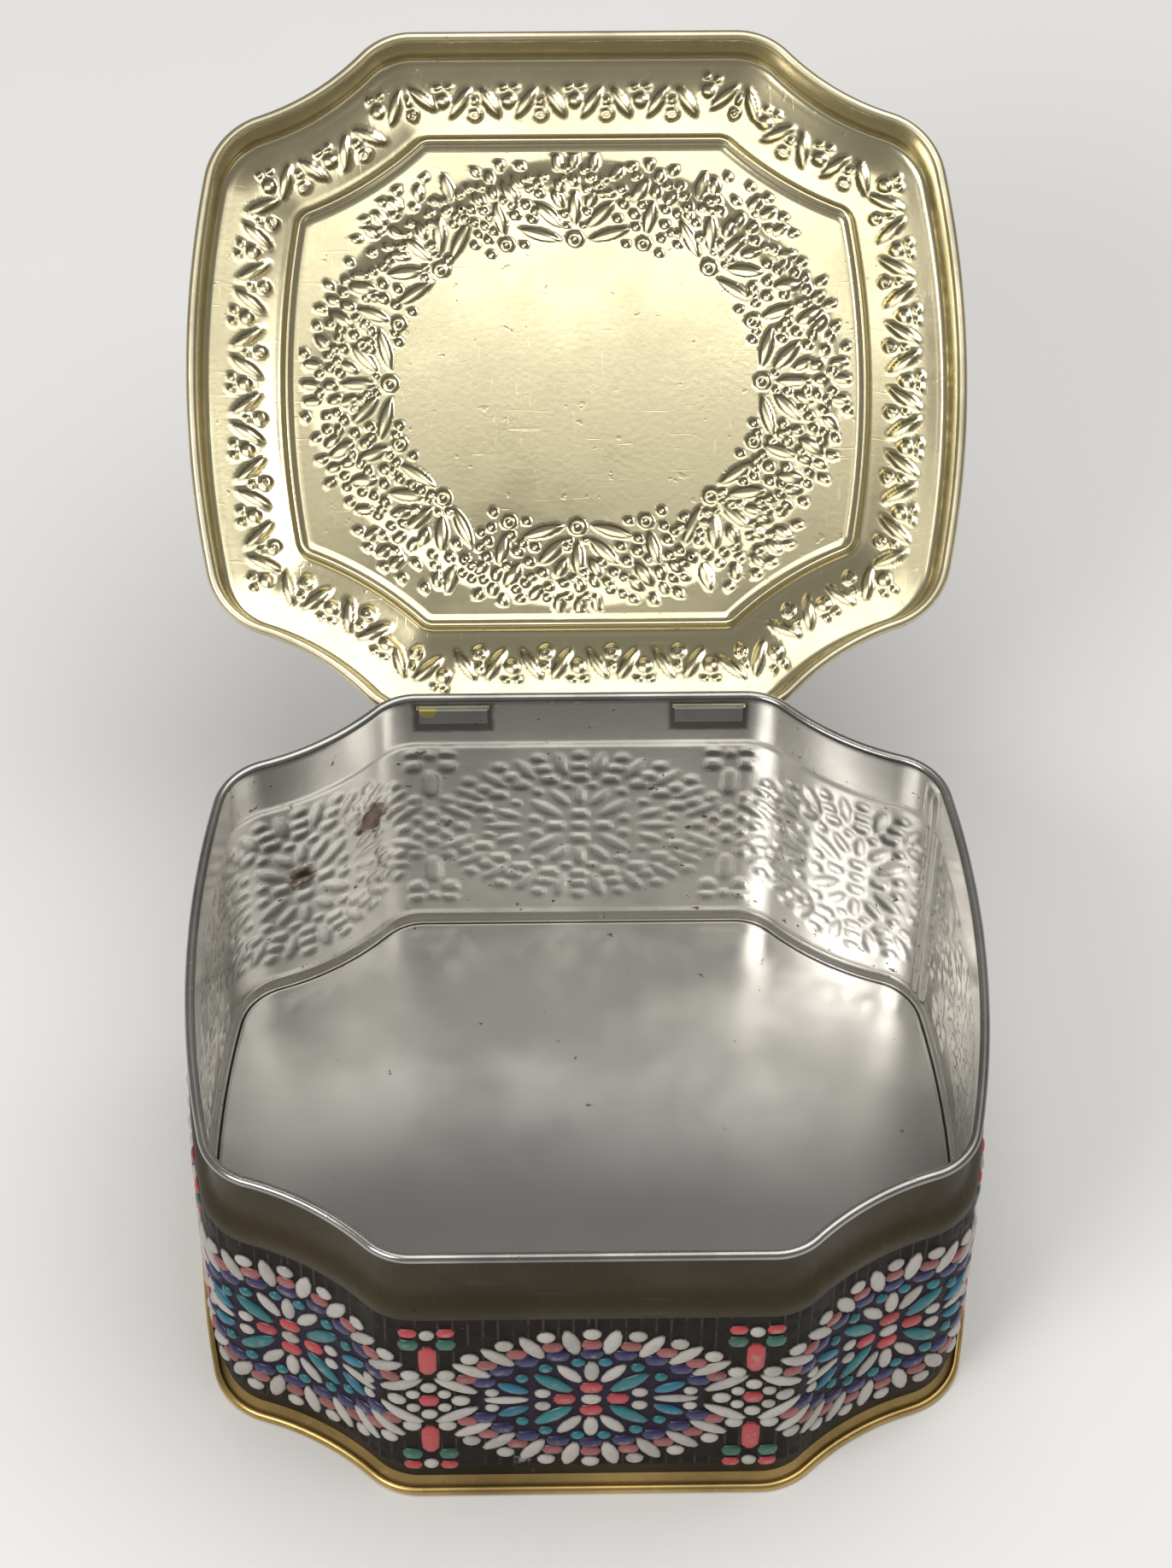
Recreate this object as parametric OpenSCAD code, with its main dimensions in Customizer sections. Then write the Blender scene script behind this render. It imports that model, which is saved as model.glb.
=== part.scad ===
// Storage tin with a waisted outline, a rolled rim, a seamed base and a lid on a wire hinge.
// The origin is the centre of the resting face, Z is up, the front faces -Y and the hinge is at +Y.
// The lid stands open at lid_open; it is drawn closed first and then turned about the hinge wire.

/* [Quality] */
// Facets of a full turn on the large curves
facets = 96; // [48:8:144]
// Facets of a full turn on the bends of the sheet
bend_facets = 28; // [20:4:40]
// Steps along each hand-drawn wave of a section
wave_steps = 6; // [4:1:10]

/* [Outline] */
// Half of the width over the body's rolled rim
rim_half_w = 72.4; // [70:0.1:76]
// Half of the depth over the body's rolled rim
rim_half_d = 63.4; // [62:0.1:66]
// Radius of the bowed sides
side_r = 198; // [180:1:230]
// Radius of the hollow corners
cove_r = 52; // [50:0.5:54]
// How far the centre of a hollow corner lies beyond the side
cove_out_x = 3.7; // [3:0.1:4.5]
// How far the centre of a hollow corner lies beyond the front
cove_out_y = 33.5; // [33:0.1:34.5]
// Radius of the round where the front runs into a hollow corner
front_round_r = 11.7; // [11:0.1:13]
// Radius of the round where a side runs into a hollow corner
side_round_r = 12.6; // [12:0.1:14]

/* [Sheet] */
// Thickness of the tinplate
sheet = 0.3; // [0.25:0.01:0.36]
// Gap left between two sheets that are folded together
fold_gap = 0.05; // [0.04:0.01:0.1]

/* [Body] */
// Height of the body to the top of its rolled rim
body_h = 79; // [74:0.5:84]
// Diameter of the rolled rim
rim_roll_d = 1.9; // [1.7:0.1:2.2]
// Height of the plain neck above its ledge
neck_h = 17; // [15:0.5:20]
// How far the wall stands outside the neck
ledge_step = 2; // [1.6:0.1:2.4]
// Radius of the bends of the ledge
ledge_r = 0.6; // [0.5:0.05:0.75]
// Height where the wall turns in above the base
waist_top_z = 9.2; // [8.8:0.1:10]
// Height of the narrowest place above the base
waist_z = 7.2; // [6.9:0.1:7.5]
// How far the waist lies inside the wall
waist_in = 1.4; // [1.2:0.05:1.6]
// Width of the lap of the side seam
seam_w = 3.6; // [3:0.1:5]
// Place of the side seam along the side, from the middle toward the back
seam_y = 26; // [20:0.5:29]

/* [Base] */
// Diameter of the rolled bead that seams the base on
bead_d = 2; // [1.8:0.05:2.2]
// How far the bead stands outside the wall
bead_out = 1.3; // [1.1:0.05:1.5]
// Height of the upper face of the floor
floor_z = 7.8; // [7.4:0.1:8.1]
// Radius of the bend at the edge of the floor
floor_r = 0.8; // [0.6:0.05:1]

/* [Lid] */
// Height of the lid from the middle of its rolled edge to its border
lid_h = 14.5; // [14:0.1:16]
// Clearance between the body's rim and the lid's skirt
lid_gap = 0.6; // [0.5:0.05:0.8]
// Diameter of the lid's rolled edge
lid_roll_d = 2; // [1.9:0.05:2.2]
// Radius of the shoulder between skirt and border
shoulder_r = 2.5; // [2:0.1:3]
// Distance of the groove round the panel from the body's outline
groove_in = 16; // [15:0.1:17]
// Radius of the groove's corners
groove_corner_r = 4.5; // [4:0.1:5]
// Width of the groove
groove_w = 4.4; // [4:0.1:4.8]
// Depth of the groove
groove_depth = 1.1; // [0.7:0.05:1.4]
// Half of the width of the raised oval
oval_half_w = 50.5; // [48:0.5:51]
// Radius of the oval's ends
oval_end_r = 33.5; // [32:0.5:34.5]
// Angle that each end turns through from the middle to its joint with a long side
oval_turn = 37; // [34:1:40]
// Height of the oval above the panel
oval_rise = 1.1; // [0.7:0.05:1.4]
// Width of the slope at the oval's edge
oval_slope_w = 2.4; // [1.8:0.1:2.4]

/* [Hinge] */
// Height of the hinge wire below the top of the body
wire_below = 8; // [7.6:0.1:8.4]
// Clearance of the hinge wire in the straps
wire_clear = 0.06; // [0.04:0.01:0.08]
// Half of the length of the hinge wire
wire_half_len = 31; // [30.8:0.1:31.2]
// Distance of each strap from the middle
strap_x = 24.3; // [20:0.1:24.5]
// Width of a strap
strap_w = 13; // [11:0.1:13.2]
// Length of the strap's tongue inside the body
tongue_len = 3.4; // [3:0.1:4]
// Height of the slot that a strap passes through
slot_h = 1.5; // [1.3:0.05:1.6]
// Clearance at each end of a strap
strap_clear = 0.4; // [0.3:0.05:0.6]
// Opening angle of the lid, from closed
lid_open = 143.5; // [0:0.5:143.5]

/* [Hidden] */
$fn = facets;

// One overrun serves all cuts, and one overlap joins plates to swept edges.
cut = 1;
lap = 0.6;
half = sheet / 2;
border_share = 0.6;

// The neck hangs inside the rim's roll, and the wall stands outside the neck by the ledge.
ledge_z = body_h - neck_h;
neck_u = half - rim_roll_d;
rim_roll_r = rim_roll_d / 2 - half;
rim_roll_c = [neck_u + rim_roll_r, body_h - rim_roll_d / 2];
wall_u = neck_u + ledge_step;
waist_u = wall_u - waist_in;

// The seam bead is the base's own edge, rolled round the body's flange.
bead_r = bead_d / 2 - half;
bead_u = wall_u + half + bead_out - bead_d / 2;
base_wall_u = waist_u - sheet - fold_gap;
flange_tip = [bead_u, bead_d / 2 + bead_r / 3];
flange_bend = [bead_u - bead_r, bead_d + half];
floor_mid_z = floor_z - half;

// The lid's skirt clears the rim, and its edge rolls outward round the hinge wire.
lid_roll_r = lid_roll_d / 2 - half;
skirt_u = lid_gap + half;
wire_u = skirt_u + lid_roll_r;
wire_r = lid_roll_d / 2 - sheet - fold_gap;
wire_y = rim_half_d + wire_u;
wire_z = body_h - wire_below;
crest_z = lid_h - half;
border_u = -front_round_r * border_share;

// A strap wraps the wire, rises on the neck and folds in through its slot.
loop_r = wire_r + wire_clear;
loop_mid_r = loop_r + half;
strap_out_u = neck_u + sheet + fold_gap;
strap_in_u = neck_u - sheet - fold_gap;
slot_top = body_h - rim_roll_d - half;
slot_low = slot_top - slot_h;
fold_r = (strap_out_u - strap_in_u) / 2;
leaf_heading = 35;

// Vectors in the plane
function unit(v) = v / norm(v);
function left_of(v) = [-v.y, v.x];
function heading(v) = atan2(v.y, v.x);
function toward(a) = [cos(a), sin(a)];
function thousandths(x) = round(x * 1000) / 1000;

// A ribbon has the sheet's thickness, half on each side of its middle line.
function shifted(p, i, d) =
    let (
        j = max(i, 1),
        k = min(i + 1, len(p) - 1),
        a = left_of(unit(p[j] - p[j - 1])),
        b = left_of(unit(p[k] - p[k - 1])),
        m = unit(a + b)
    )
    p[i] + m * d / (m * a);
function ribbon(p) = concat(
    [for (i = [0:len(p) - 1]) shifted(p, i, half)],
    [for (i = [len(p) - 1:-1:0]) shifted(p, i, -half)]
);
module run(path) {
    polygon(ribbon(path));
}

// A bend of the sheet about c, whose middle line has radius r
module bend(c, r, from, to) {
    reach = 2 * (r + half);
    n = ceil((to - from) / 60);
    translate(c)
        intersection() {
            difference() {
                circle(r = r + half, $fn = bend_facets);
                circle(r = r - half, $fn = bend_facets);
            }
            polygon(concat([[0, 0]], [for (i = [0:n]) reach * toward(from + (to - from) * i / n)]));
        }
}

// A smooth wave between two points, flat or upright at both ends
function wave(p, q, n = wave_steps) =
    [for (i = [0:n]) [p.x + (q.x - p.x) * (1 - cos(180 * i / n)) / 2, p.y + (q.y - p.y) * i / n]];

// The outline is eight rounds, four hollow corners, two bowed sides and two straight runs, all tangent.
// Its joints are headings in round thousandths of a degree, so that neighbouring arcs end in one plane.

// Each outline lies a distance inside the rim and has its own two rounds.
// quarter() gives [round_f, round_s, cove_r, turn_f, turn_s, side, front centre].
function ideal_cove_c() = [rim_half_w + cove_out_x, rim_half_d + cove_out_y];
function quarter(inset, round_f, round_s) =
    let (
        c = ideal_cove_c(),
        fy = rim_half_d - inset - round_f,
        r_c = cove_r + inset,
        fx = c.x - sqrt(pow(round_f + r_c, 2) - pow(c.y - fy, 2)),
        v = c - [rim_half_w - side_r, 0],
        d = norm(v),
        near = side_r - inset - round_s,
        far = r_c + round_s,
        along = (near * near - far * far + d * d) / (2 * d),
        across = sqrt(near * near - along * along),
        s = [rim_half_w - side_r, 0] + along * unit(v) - across * left_of(unit(v))
    )
    [
        round_f, round_s, r_c,
        thousandths(heading(c - [fx, fy])),
        thousandths(heading(c - s)),
        thousandths(heading(s - [rim_half_w - side_r, 0])),
        [thousandths(fx), fy]
    ];
function front_c(q) = q[6];
function cove_c(q) = front_c(q) + (q[0] + q[2]) * toward(q[3]);
function round_c(q) = cove_c(q) - (q[1] + q[2]) * toward(q[4]);
function bow_r(q) = round_c(q).y / sin(q[5]) + q[1];
function bow_c(q) = [round_c(q).x - (bow_r(q) - q[1]) * cos(q[5]), 0];

// Moves by whole thousandths first, so that no digit of a computed place is lost.
module placed(v) {
    w = [thousandths(v.x), thousandths(v.y)];
    translate(w)
        translate(v - w)
            children();
}

// The flat region inside an outline, a further distance out
module plan(q, out = 0) {
    f = front_c(q);
    s = round_c(q);
    r_bow = bow_r(q) + out;
    tip = bow_c(q) + r_bow * toward(q[5]);
    difference() {
        union() {
            square([2 * f.x, 2 * (f.y + q[0] + out)], center = true);
            intersection() {
                placed(bow_c(q))
                    circle(r = r_bow);
                placed(-bow_c(q))
                    circle(r = r_bow);
                square([2 * (bow_c(q).x + r_bow), 2 * tip.y], center = true);
            }
            for (mx = [0, 1], my = [0, 1])
                mirror([mx, 0])
                    mirror([0, my]) {
                        polygon([[0, 0], tip, s, cove_c(q), f, [0, f.y]]);
                        placed(f)
                            circle(r = q[0] + out);
                        placed(s)
                            circle(r = q[1] + out);
                    }
        }
        for (mx = [0, 1], my = [0, 1])
            mirror([mx, 0])
                mirror([0, my])
                    placed(cove_c(q))
                        circle(r = q[2] - out);
    }
}

// Sweeps a section round an outline; in the section, x runs outward and y up.
module swept(q) {
    f = front_c(q);
    for (k = [0, 1])
        rotate([0, 0, 180 * k]) {
            translate([-f.x, f.y + q[0], 0])
                rotate([90, 0, 90])
                    linear_extrude(height = 2 * f.x)
                        children();
            placed(bow_c(q))
                rotate_extrude(angle = 2 * q[5], start = -q[5])
                    placed([bow_r(q), 0])
                        children();
        }
    for (mx = [0, 1], my = [0, 1])
        mirror([mx, 0, 0])
            mirror([0, my, 0]) {
                placed(round_c(q))
                    rotate_extrude(angle = q[4] - q[5], start = q[5])
                        placed([q[1], 0])
                            children();
                placed(cove_c(q))
                    rotate_extrude(angle = q[3] - q[4], start = 180 + q[4])
                        placed([q[2], 0])
                            mirror([1, 0])
                                children();
                placed(f)
                    rotate_extrude(angle = 90 - q[3], start = q[3])
                        placed([q[0], 0])
                            children();
            }
}

rim_line = quarter(0, front_round_r, side_round_r);
groove_line = quarter(groove_in, groove_corner_r, groove_corner_r);

// The body's section: rolled rim, neck, ledge, wall, hollow waist and the flange inside the seam
module body_section() {
    bend(rim_roll_c, rim_roll_r, -110, 180);
    run([rim_roll_c - [rim_roll_r, 0], [neck_u, ledge_z + ledge_r]]);
    bend([neck_u + ledge_r, ledge_z + ledge_r], ledge_r, 180, 270);
    run([[neck_u + ledge_r, ledge_z], [wall_u - ledge_r, ledge_z]]);
    bend([wall_u - ledge_r, ledge_z - ledge_r], ledge_r, 0, 90);
    run(concat(
        [[wall_u, ledge_z - ledge_r]],
        wave([wall_u, waist_top_z], [waist_u, waist_z]),
        [for (i = [1:wave_steps]) [
            waist_u + (flange_bend.x - waist_u) * pow(i / wave_steps, 2),
            waist_z + (flange_bend.y - waist_z) * i / wave_steps
        ]],
        [flange_tip]
    ));
}

// The side seam laps the sheet on the inside of the wall, from the waist to the ledge.
module seam_lap() {
    placed(bow_c(rim_line))
        rotate_extrude(
            angle = thousandths(asin(seam_w / side_r)),
            start = thousandths(asin(seam_y / side_r))
        )
            placed([bow_r(rim_line), 0])
                translate([wall_u - half - sheet, waist_top_z])
                    square([sheet + half, ledge_z - ledge_r - waist_top_z]);
}

module slots() {
    for (x = [-strap_x, strap_x])
        translate([x - strap_w / 2 - strap_clear, rim_half_d + strap_in_u - cut, slot_low])
            cube([strap_w + 2 * strap_clear, cut + strap_out_u - strap_in_u, slot_h]);
}

module body_wall() {
    color([0.6, 0.57, 0.48])
        difference() {
            union() {
                swept(rim_line)
                    body_section();
                seam_lap();
            }
            slots();
        }
}

// The base's section: edge of the floor, countersunk wall, foot and the bead rolled round the flange
module base_section() {
    run([[base_wall_u - floor_r - lap - lap, floor_mid_z], [base_wall_u - floor_r, floor_mid_z]]);
    bend([base_wall_u - floor_r, floor_mid_z - floor_r], floor_r, 0, 90);
    run([[base_wall_u, floor_mid_z - floor_r], [base_wall_u, half + floor_r]]);
    bend([base_wall_u + floor_r, half + floor_r], floor_r, 180, 270);
    run([[base_wall_u + floor_r, half], [bead_u, half]]);
    bend([bead_u, bead_d / 2], bead_r, -90, 90);
}

module base_plate() {
    color([0.58, 0.56, 0.5]) {
        swept(rim_line)
            base_section();
        translate([0, 0, floor_z - sheet])
            linear_extrude(height = sheet)
                plan(rim_line, base_wall_u - floor_r - lap);
    }
}

// The lid's section: rolled edge, skirt, shoulder and the start of the border
module lid_section() {
    bend([wire_u, 0], lid_roll_r, -180, 110);
    run([[skirt_u, 0], [skirt_u, crest_z - shoulder_r]]);
    bend([skirt_u - shoulder_r, crest_z - shoulder_r], shoulder_r, 0, 90);
    run([[skirt_u - shoulder_r, crest_z], [border_u, crest_z]]);
}

// The groove round the panel is one wave of a cosine between two flat edges.
module groove_section() {
    run(concat(
        [[groove_w / 2 + lap, crest_z]],
        [for (i = [0:wave_steps]) [
            groove_w * (0.5 - i / wave_steps),
            crest_z - groove_depth * (1 - cos(360 * i / wave_steps)) / 2
        ]],
        [[-groove_w / 2 - lap, crest_z]]
    ));
}

// The oval is drawn with four arcs, and rises from the panel by one wave.
oval_end_c = [oval_half_w - oval_end_r, 0];
oval_side_c = [0, -oval_end_c.x * tan(oval_turn)];
oval_side_r = oval_end_r + oval_end_c.x / cos(oval_turn);

module oval_plan(out = 0) {
    joint = oval_end_c + (oval_end_r + out) * toward(oval_turn);
    for (mx = [0, 1])
        mirror([mx, 0])
            translate(oval_end_c)
                circle(r = oval_end_r + out);
    intersection() {
        placed(oval_side_c)
            circle(r = oval_side_r + out);
        placed(-oval_side_c)
            circle(r = oval_side_r + out);
        square([2 * joint.x, 2 * oval_side_r], center = true);
    }
}

module swept_oval() {
    for (k = [0, 1])
        rotate([0, 0, 180 * k]) {
            translate(oval_end_c)
                rotate_extrude(angle = 2 * oval_turn, start = -oval_turn)
                    translate([oval_end_r, 0])
                        children();
            placed(oval_side_c)
                rotate_extrude(angle = 180 - 2 * oval_turn, start = oval_turn)
                    placed([oval_side_r, 0])
                        children();
        }
}

module oval_section() {
    run(concat(
        [[oval_slope_w + lap, crest_z]],
        [for (i = [0:wave_steps]) [
            oval_slope_w * (1 - i / wave_steps),
            crest_z + oval_rise * (1 - cos(180 * i / wave_steps)) / 2
        ]],
        [[-lap, crest_z + oval_rise]]
    ));
}

module plate_at(z) {
    translate([0, 0, z - half])
        linear_extrude(height = sheet)
            children();
}

module closed_lid() {
    swept(rim_line)
        lid_section();
    swept(groove_line)
        groove_section();
    swept_oval()
        oval_section();
    plate_at(crest_z)
        difference() {
            plan(rim_line, border_u + lap);
            plan(groove_line, groove_w / 2);
        }
    plate_at(crest_z)
        difference() {
            plan(groove_line, -groove_w / 2);
            oval_plan(oval_slope_w);
        }
    plate_at(crest_z + oval_rise)
        oval_plan();
}

// Turns what is drawn closed, about the hinge wire.
module opened() {
    translate([0, wire_y, wire_z])
        rotate([-lid_open, 0, 0])
            translate([0, -wire_y, 0])
                children();
}

module strap_notches() {
    for (x = [-strap_x, strap_x])
        translate([x - strap_w / 2 - strap_clear, wire_y - lid_roll_d, -lid_roll_d])
            cube([strap_w + 2 * strap_clear, 2 * lid_roll_d, 2 * lid_roll_d]);
}

module lid() {
    color([0.78, 0.74, 0.55])
        opened()
            difference() {
                closed_lid();
                strap_notches();
            }
}

module hinge_wire() {
    color([0.5, 0.48, 0.42])
        along_wire(2 * wire_half_len)
            circle(r = wire_r);
}

// A strap's leaf, from the tongue inside, over the slot's edge, down the neck and up to the loop
leaf_path = concat(
    [[strap_in_u, slot_low - tongue_len]],
    [for (i = [0:wave_steps]) [neck_u, slot_low] + fold_r * toward(180 - 180 * i / wave_steps)],
    [[strap_out_u, wire_z], [wire_u, wire_z] + loop_mid_r * toward(180 + leaf_heading)]
);

module along_wire(length) {
    translate([-length / 2, wire_y, wire_z])
        rotate([0, 90, 0])
            linear_extrude(height = length)
                children();
}

module hinge_strap() {
    color([0.66, 0.6, 0.42])
        difference() {
            union() {
                translate([-strap_w / 2, rim_half_d, 0])
                    rotate([90, 0, 90])
                        linear_extrude(height = strap_w)
                            run(leaf_path);
                along_wire(strap_w)
                    circle(r = loop_r + sheet);
            }
            along_wire(strap_w + 2 * cut)
                circle(r = loop_r);
        }
}

module hinge_strap_left() {
    translate([-strap_x, 0, 0])
        hinge_strap();
}

module hinge_strap_right() {
    translate([strap_x, 0, 0])
        hinge_strap();
}

body_wall();
base_plate();
lid();
hinge_wire();
hinge_strap_left();
hinge_strap_right();
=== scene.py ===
"""Looks of a storage tin: embossed bead bands, rolled edges, worn tinplate, and a plain studio stage."""

import math
from functools import lru_cache

import bmesh
import bpy
import numpy as np
from bpy.props import FloatProperty, FloatVectorProperty, PointerProperty
from mathutils import Matrix, Vector


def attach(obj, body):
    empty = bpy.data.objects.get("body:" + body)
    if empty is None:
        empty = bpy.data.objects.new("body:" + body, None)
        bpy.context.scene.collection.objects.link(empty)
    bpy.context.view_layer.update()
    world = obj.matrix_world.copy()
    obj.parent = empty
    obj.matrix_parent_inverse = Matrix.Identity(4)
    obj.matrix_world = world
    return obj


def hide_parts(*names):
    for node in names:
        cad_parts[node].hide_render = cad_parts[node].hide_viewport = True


bl_info = {
    "name": "Storage tin",
    "version": (1, 0, 0),
    "blender": (4, 5, 0),
    "location": "View3D > Sidebar > Tin",
    "description": "Builds the embossed and printed surfaces of a storage tin",
    "category": "Object",
}

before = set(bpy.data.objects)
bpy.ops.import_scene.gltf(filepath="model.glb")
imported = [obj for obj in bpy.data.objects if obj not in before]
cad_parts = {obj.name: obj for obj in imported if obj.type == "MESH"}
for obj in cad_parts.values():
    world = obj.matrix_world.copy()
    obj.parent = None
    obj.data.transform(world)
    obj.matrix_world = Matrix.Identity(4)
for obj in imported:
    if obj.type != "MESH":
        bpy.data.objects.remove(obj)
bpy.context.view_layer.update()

# Lengths are millimetres of the solid parts, and MM turns them into Blender's metres.
MM = 0.001

# Outline of the rim
RIM_HALF_W, RIM_HALF_D = 72.4, 63.4
SIDE_R, COVE_R = 198.0, 52.0
COVE_OUT_X, COVE_OUT_Y = 3.7, 33.5
FRONT_ROUND_R, SIDE_ROUND_R = 11.7, 12.6

# Section of the body, as distances outside the rim's outline and heights
BODY_H, ROLL_R = 79.0, 0.95
NECK_IN, NECK_OUT = -1.9, -1.6
NECK_ROWS = (70.0, 74.2)
LEDGE_TOP, LEDGE_FALL = 67.0, 5.4
LEDGE_IN_FOOT, LEDGE_IN_RISE, LEDGE_IN_TOP = 62.0, 4.2, 66.6
WALL_OUT, WALL_IN = 0.4, -0.12
WALL_ROWS_OUT = (60.0, 56.0, 50.0, 44.0, 38.0, 32.0, 26.0, 20.0, 14.0, 10.4)
WAIST_OUT, WAIST_IN = -1.0, -1.3
WAIST_Z, WAIST_RISE, FLARE_DROP = 7.2, 2.2, 5.05
HEM = ((0.7, 1.35), (0.55, 1.15), (-0.3, 2.0))
SEAM = (39.7, 43.7)
SEAM_LAP, SEAM_CREASE = 0.55, 0.25
SLOT_X, SLOT_HALF_W = 24.3, 6.9
SLOT_LOW, SLOT_TOP = 75.45, 76.95

# Lid, in its shut place over its own resting edge; it opens about the wire, by an angle in degrees
LID_OPEN = 143.5
WIRE_Y, WIRE_Z = 65.0, 71.0
LID_CREST, LID_IN, LID_OUT = 14.35, -0.35, 0.3
SKIRT_IN, SKIRT_OUT, LID_ROLL_R = 0.6, 0.9, 1.0
NOTCH_TOP, SKIRT_TOP = 2.0, 7.0
SKIRT_ROWS = (NOTCH_TOP, 5.0, 8.5)
SHOULDER_OUT, SHOULDER_Z = -1.75, 11.85
CUSHION = 0.8
GROOVE_IN, GROOVE_CORNER_R, GROOVE_HALF = 16.0, 3.4, 2.2
OVAL_END_R, OVAL_END_X, OVAL_TURN = 33.5, 17.0, math.radians(37)
OVAL_RISE, OVAL_SLOPE = 0.9, (-3.4, 2.4)
CREASE_SHARE, CREASE_WIDTH = 0.7, 0.3

# Pattern of beads: its bands, rosettes, garland and dots, and how the beads are drawn
BAND_MID, BAND_LOW, BAND_TOP = 33.0, 9.6, 61.4
DENT_RISE, DENT_SHARE = 4.4, 0.86
BEAD_SINK, BLOCK_SHARE, RING_STRETCH, LID_BEAD_SHARE = 0.03, 0.85, 3.1, 0.8
ROSETTES, THREADS = 8, 11
FIELD_HALF_W, FIELD_HALF_H = 20.5, 15.6
GARLAND_INSET = 8.4
DOT_R, DOT_STEP, DOT_COUNT, DOT_BAND = 0.9, 1.16, 2600, (-10.5, 0.6)
GOLDEN_TURN = math.radians(137.508)
CLOSENESS, FAR_APART = 0.84, 12.0

# Finishes of the solid parts that stay as they are
PART_FINISHES = {
    "base_plate": "base", "hinge_wire": "wire", "hinge_strap_left": "strap", "hinge_strap_right": "strap",
}

# Camera and lamps, with places in metres and turns in radians; a lamp has a size, a place and a target
CAMERA_LENS, CAMERA_PLACE = 98.04, (-0.01266, -0.45635, 0.70046)
CAMERA_YAW, CAMERA_PITCH, CAMERA_ROLL = 0.0266, 0.8961, 0.0116
LAMPS = {
    "key": (1.1, (0.32, 0.08, 1.2), (0.32, 0.08, 0.0)),
    "side": (0.5, (-0.62, -0.6, 0.88), (0.0, 0.03, 0.05)),
}

# Fineness of the meshes, and how many places are worked out at a time
COLUMNS, WALL_ROWS, LEDGE_ROWS = 704, 68, 7
LANE_STEPS, BATCH, TINY = 4000, 4000, 1e-6

# Wear: rust patches with their sizes and a paint fleck with its radius; and the box of a strap's leg on the
# wall, with a painted shadow round it, as (across, up)
RUST_SPOTS = ((-54.5, 49.2, 40.0), 2.6), ((-40.5, 58.6, 46.0), 3.4)
PAINT_SPOT, PAINT_R = (-29.2, 61.2, 75.6), 1.8
STRAP_SHADOW_MIDDLE, STRAP_SHADOW_HALF = (SLOT_X, 73.4), (6.9, 3.4)
BUMP_DEPTH = 0.1


def length_property(name, description, default, low, high):
    return FloatProperty(
        name=name, description=description, default=default, min=low, max=high, unit="LENGTH",
        subtype="DISTANCE")


def colour_property(name, description, value):
    return FloatVectorProperty(
        name=name, description=description, default=value, min=0.0, max=1.0, size=3, subtype="COLOR")


def share_property(name, description, default):
    return FloatProperty(
        name=name, description=description, default=default, min=0.0, max=1.0, subtype="FACTOR")


def power_property(name, description, default):
    return FloatProperty(name=name, description=description, default=default, min=0.0, max=60.0, unit="POWER")


class TinSizes(bpy.types.PropertyGroup):
    """Sizes of the embossed and printed pattern."""

    bead_height: length_property(
        "Bead height", "How far a printed bead stands out of its ground", 0.0009, 0.0001, 0.001)
    wall_dent: length_property(
        "Wall dents", "How deep the pattern shows on the inside of the wall", 0.00031, 0.0001, 0.0005)
    lid_dent: length_property(
        "Lid dents", "How deep the pattern shows on the inside of the lid", 0.00057, 0.0001, 0.0006)
    ridge_height: length_property(
        "Ridge height", "Height of the ridge round the lid's panel", 0.0011, 0.0004, 0.0015)
    garland_unit: length_property(
        "Garland unit", "Length of one repeat of the garland on the lid's border", 0.0124, 0.01, 0.016)


class TinColours(bpy.types.PropertyGroup):
    """Colours of the metal, the lacquers and the printed beads."""

    tinplate: colour_property("Tinplate", "Bare tinplate inside the body", (0.80, 0.78, 0.735))
    lacquer: colour_property("Lacquer", "Pale gold lacquer inside the lid", (0.74, 0.66, 0.42))
    edge: colour_property("Edge", "Rubbed rolled edges", (0.80, 0.71, 0.48))
    olive: colour_property("Olive", "Dark lacquer of the neck", (0.046, 0.034, 0.014))
    ground: colour_property("Ground", "Dark ground of the bead bands", (0.011, 0.008, 0.006))
    gold: colour_property("Gold", "Gold lacquer of the foot", (0.66, 0.46, 0.17))
    rust: colour_property("Rust", "Rust and dirt", (0.10, 0.045, 0.018))
    white: colour_property("White beads", "Off-white beads", (0.45, 0.42, 0.38))
    coral: colour_property("Coral beads", "Coral red beads", (0.44, 0.038, 0.045))
    pink: colour_property("Pink beads", "Dusty pink beads", (0.29, 0.078, 0.075))
    teal: colour_property("Teal beads", "Teal beads", (0.006, 0.155, 0.175))
    green: colour_property("Green beads", "Blue-green beads", (0.015, 0.11, 0.075))
    navy: colour_property("Navy beads", "Navy beads", (0.016, 0.012, 0.085))
    blue: colour_property("Blue beads", "Blue-teal beads", (0.008, 0.14, 0.22))
    field: colour_property("Field", "Dim ground inside each rosette", (0.020, 0.013, 0.027))
    paint: colour_property("Paint", "Yellow paint fleck at a strap", (0.62, 0.56, 0.20))
    rubbed: colour_property("Rubbed crowns", "Metal that shows on rubbed beads", (0.30, 0.27, 0.22))
    wire: colour_property("Wire", "Steel of the hinge wire", (0.42, 0.40, 0.36))
    wire_shade: colour_property("Wire shade", "Darker clouds on the hinge wire", (0.22, 0.20, 0.17))


class StageSettings(bpy.types.PropertyGroup):
    """Floor and light."""

    floor_colour: colour_property("Floor", "Colour of the floor", (0.80, 0.79, 0.77))
    world_level: share_property("World level", "Strength of the even light from all sides", 0.40)
    mirrored_share: share_property(
        "Mirrored share", "Share of the even light that shows in mirroring metal", 0.55)
    seen_level: share_property("Seen level", "Brightness of the backdrop in the picture", 0.92)
    key_power: power_property("Key power", "Power of the large soft lamp overhead", 9.0)
    side_power: power_property("Side power", "Power of the soft lamp at the side", 6.0)


# Outline


def rounded_heading(dx, dy):
    return round(math.degrees(math.atan2(dy, dx)), 3)


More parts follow.
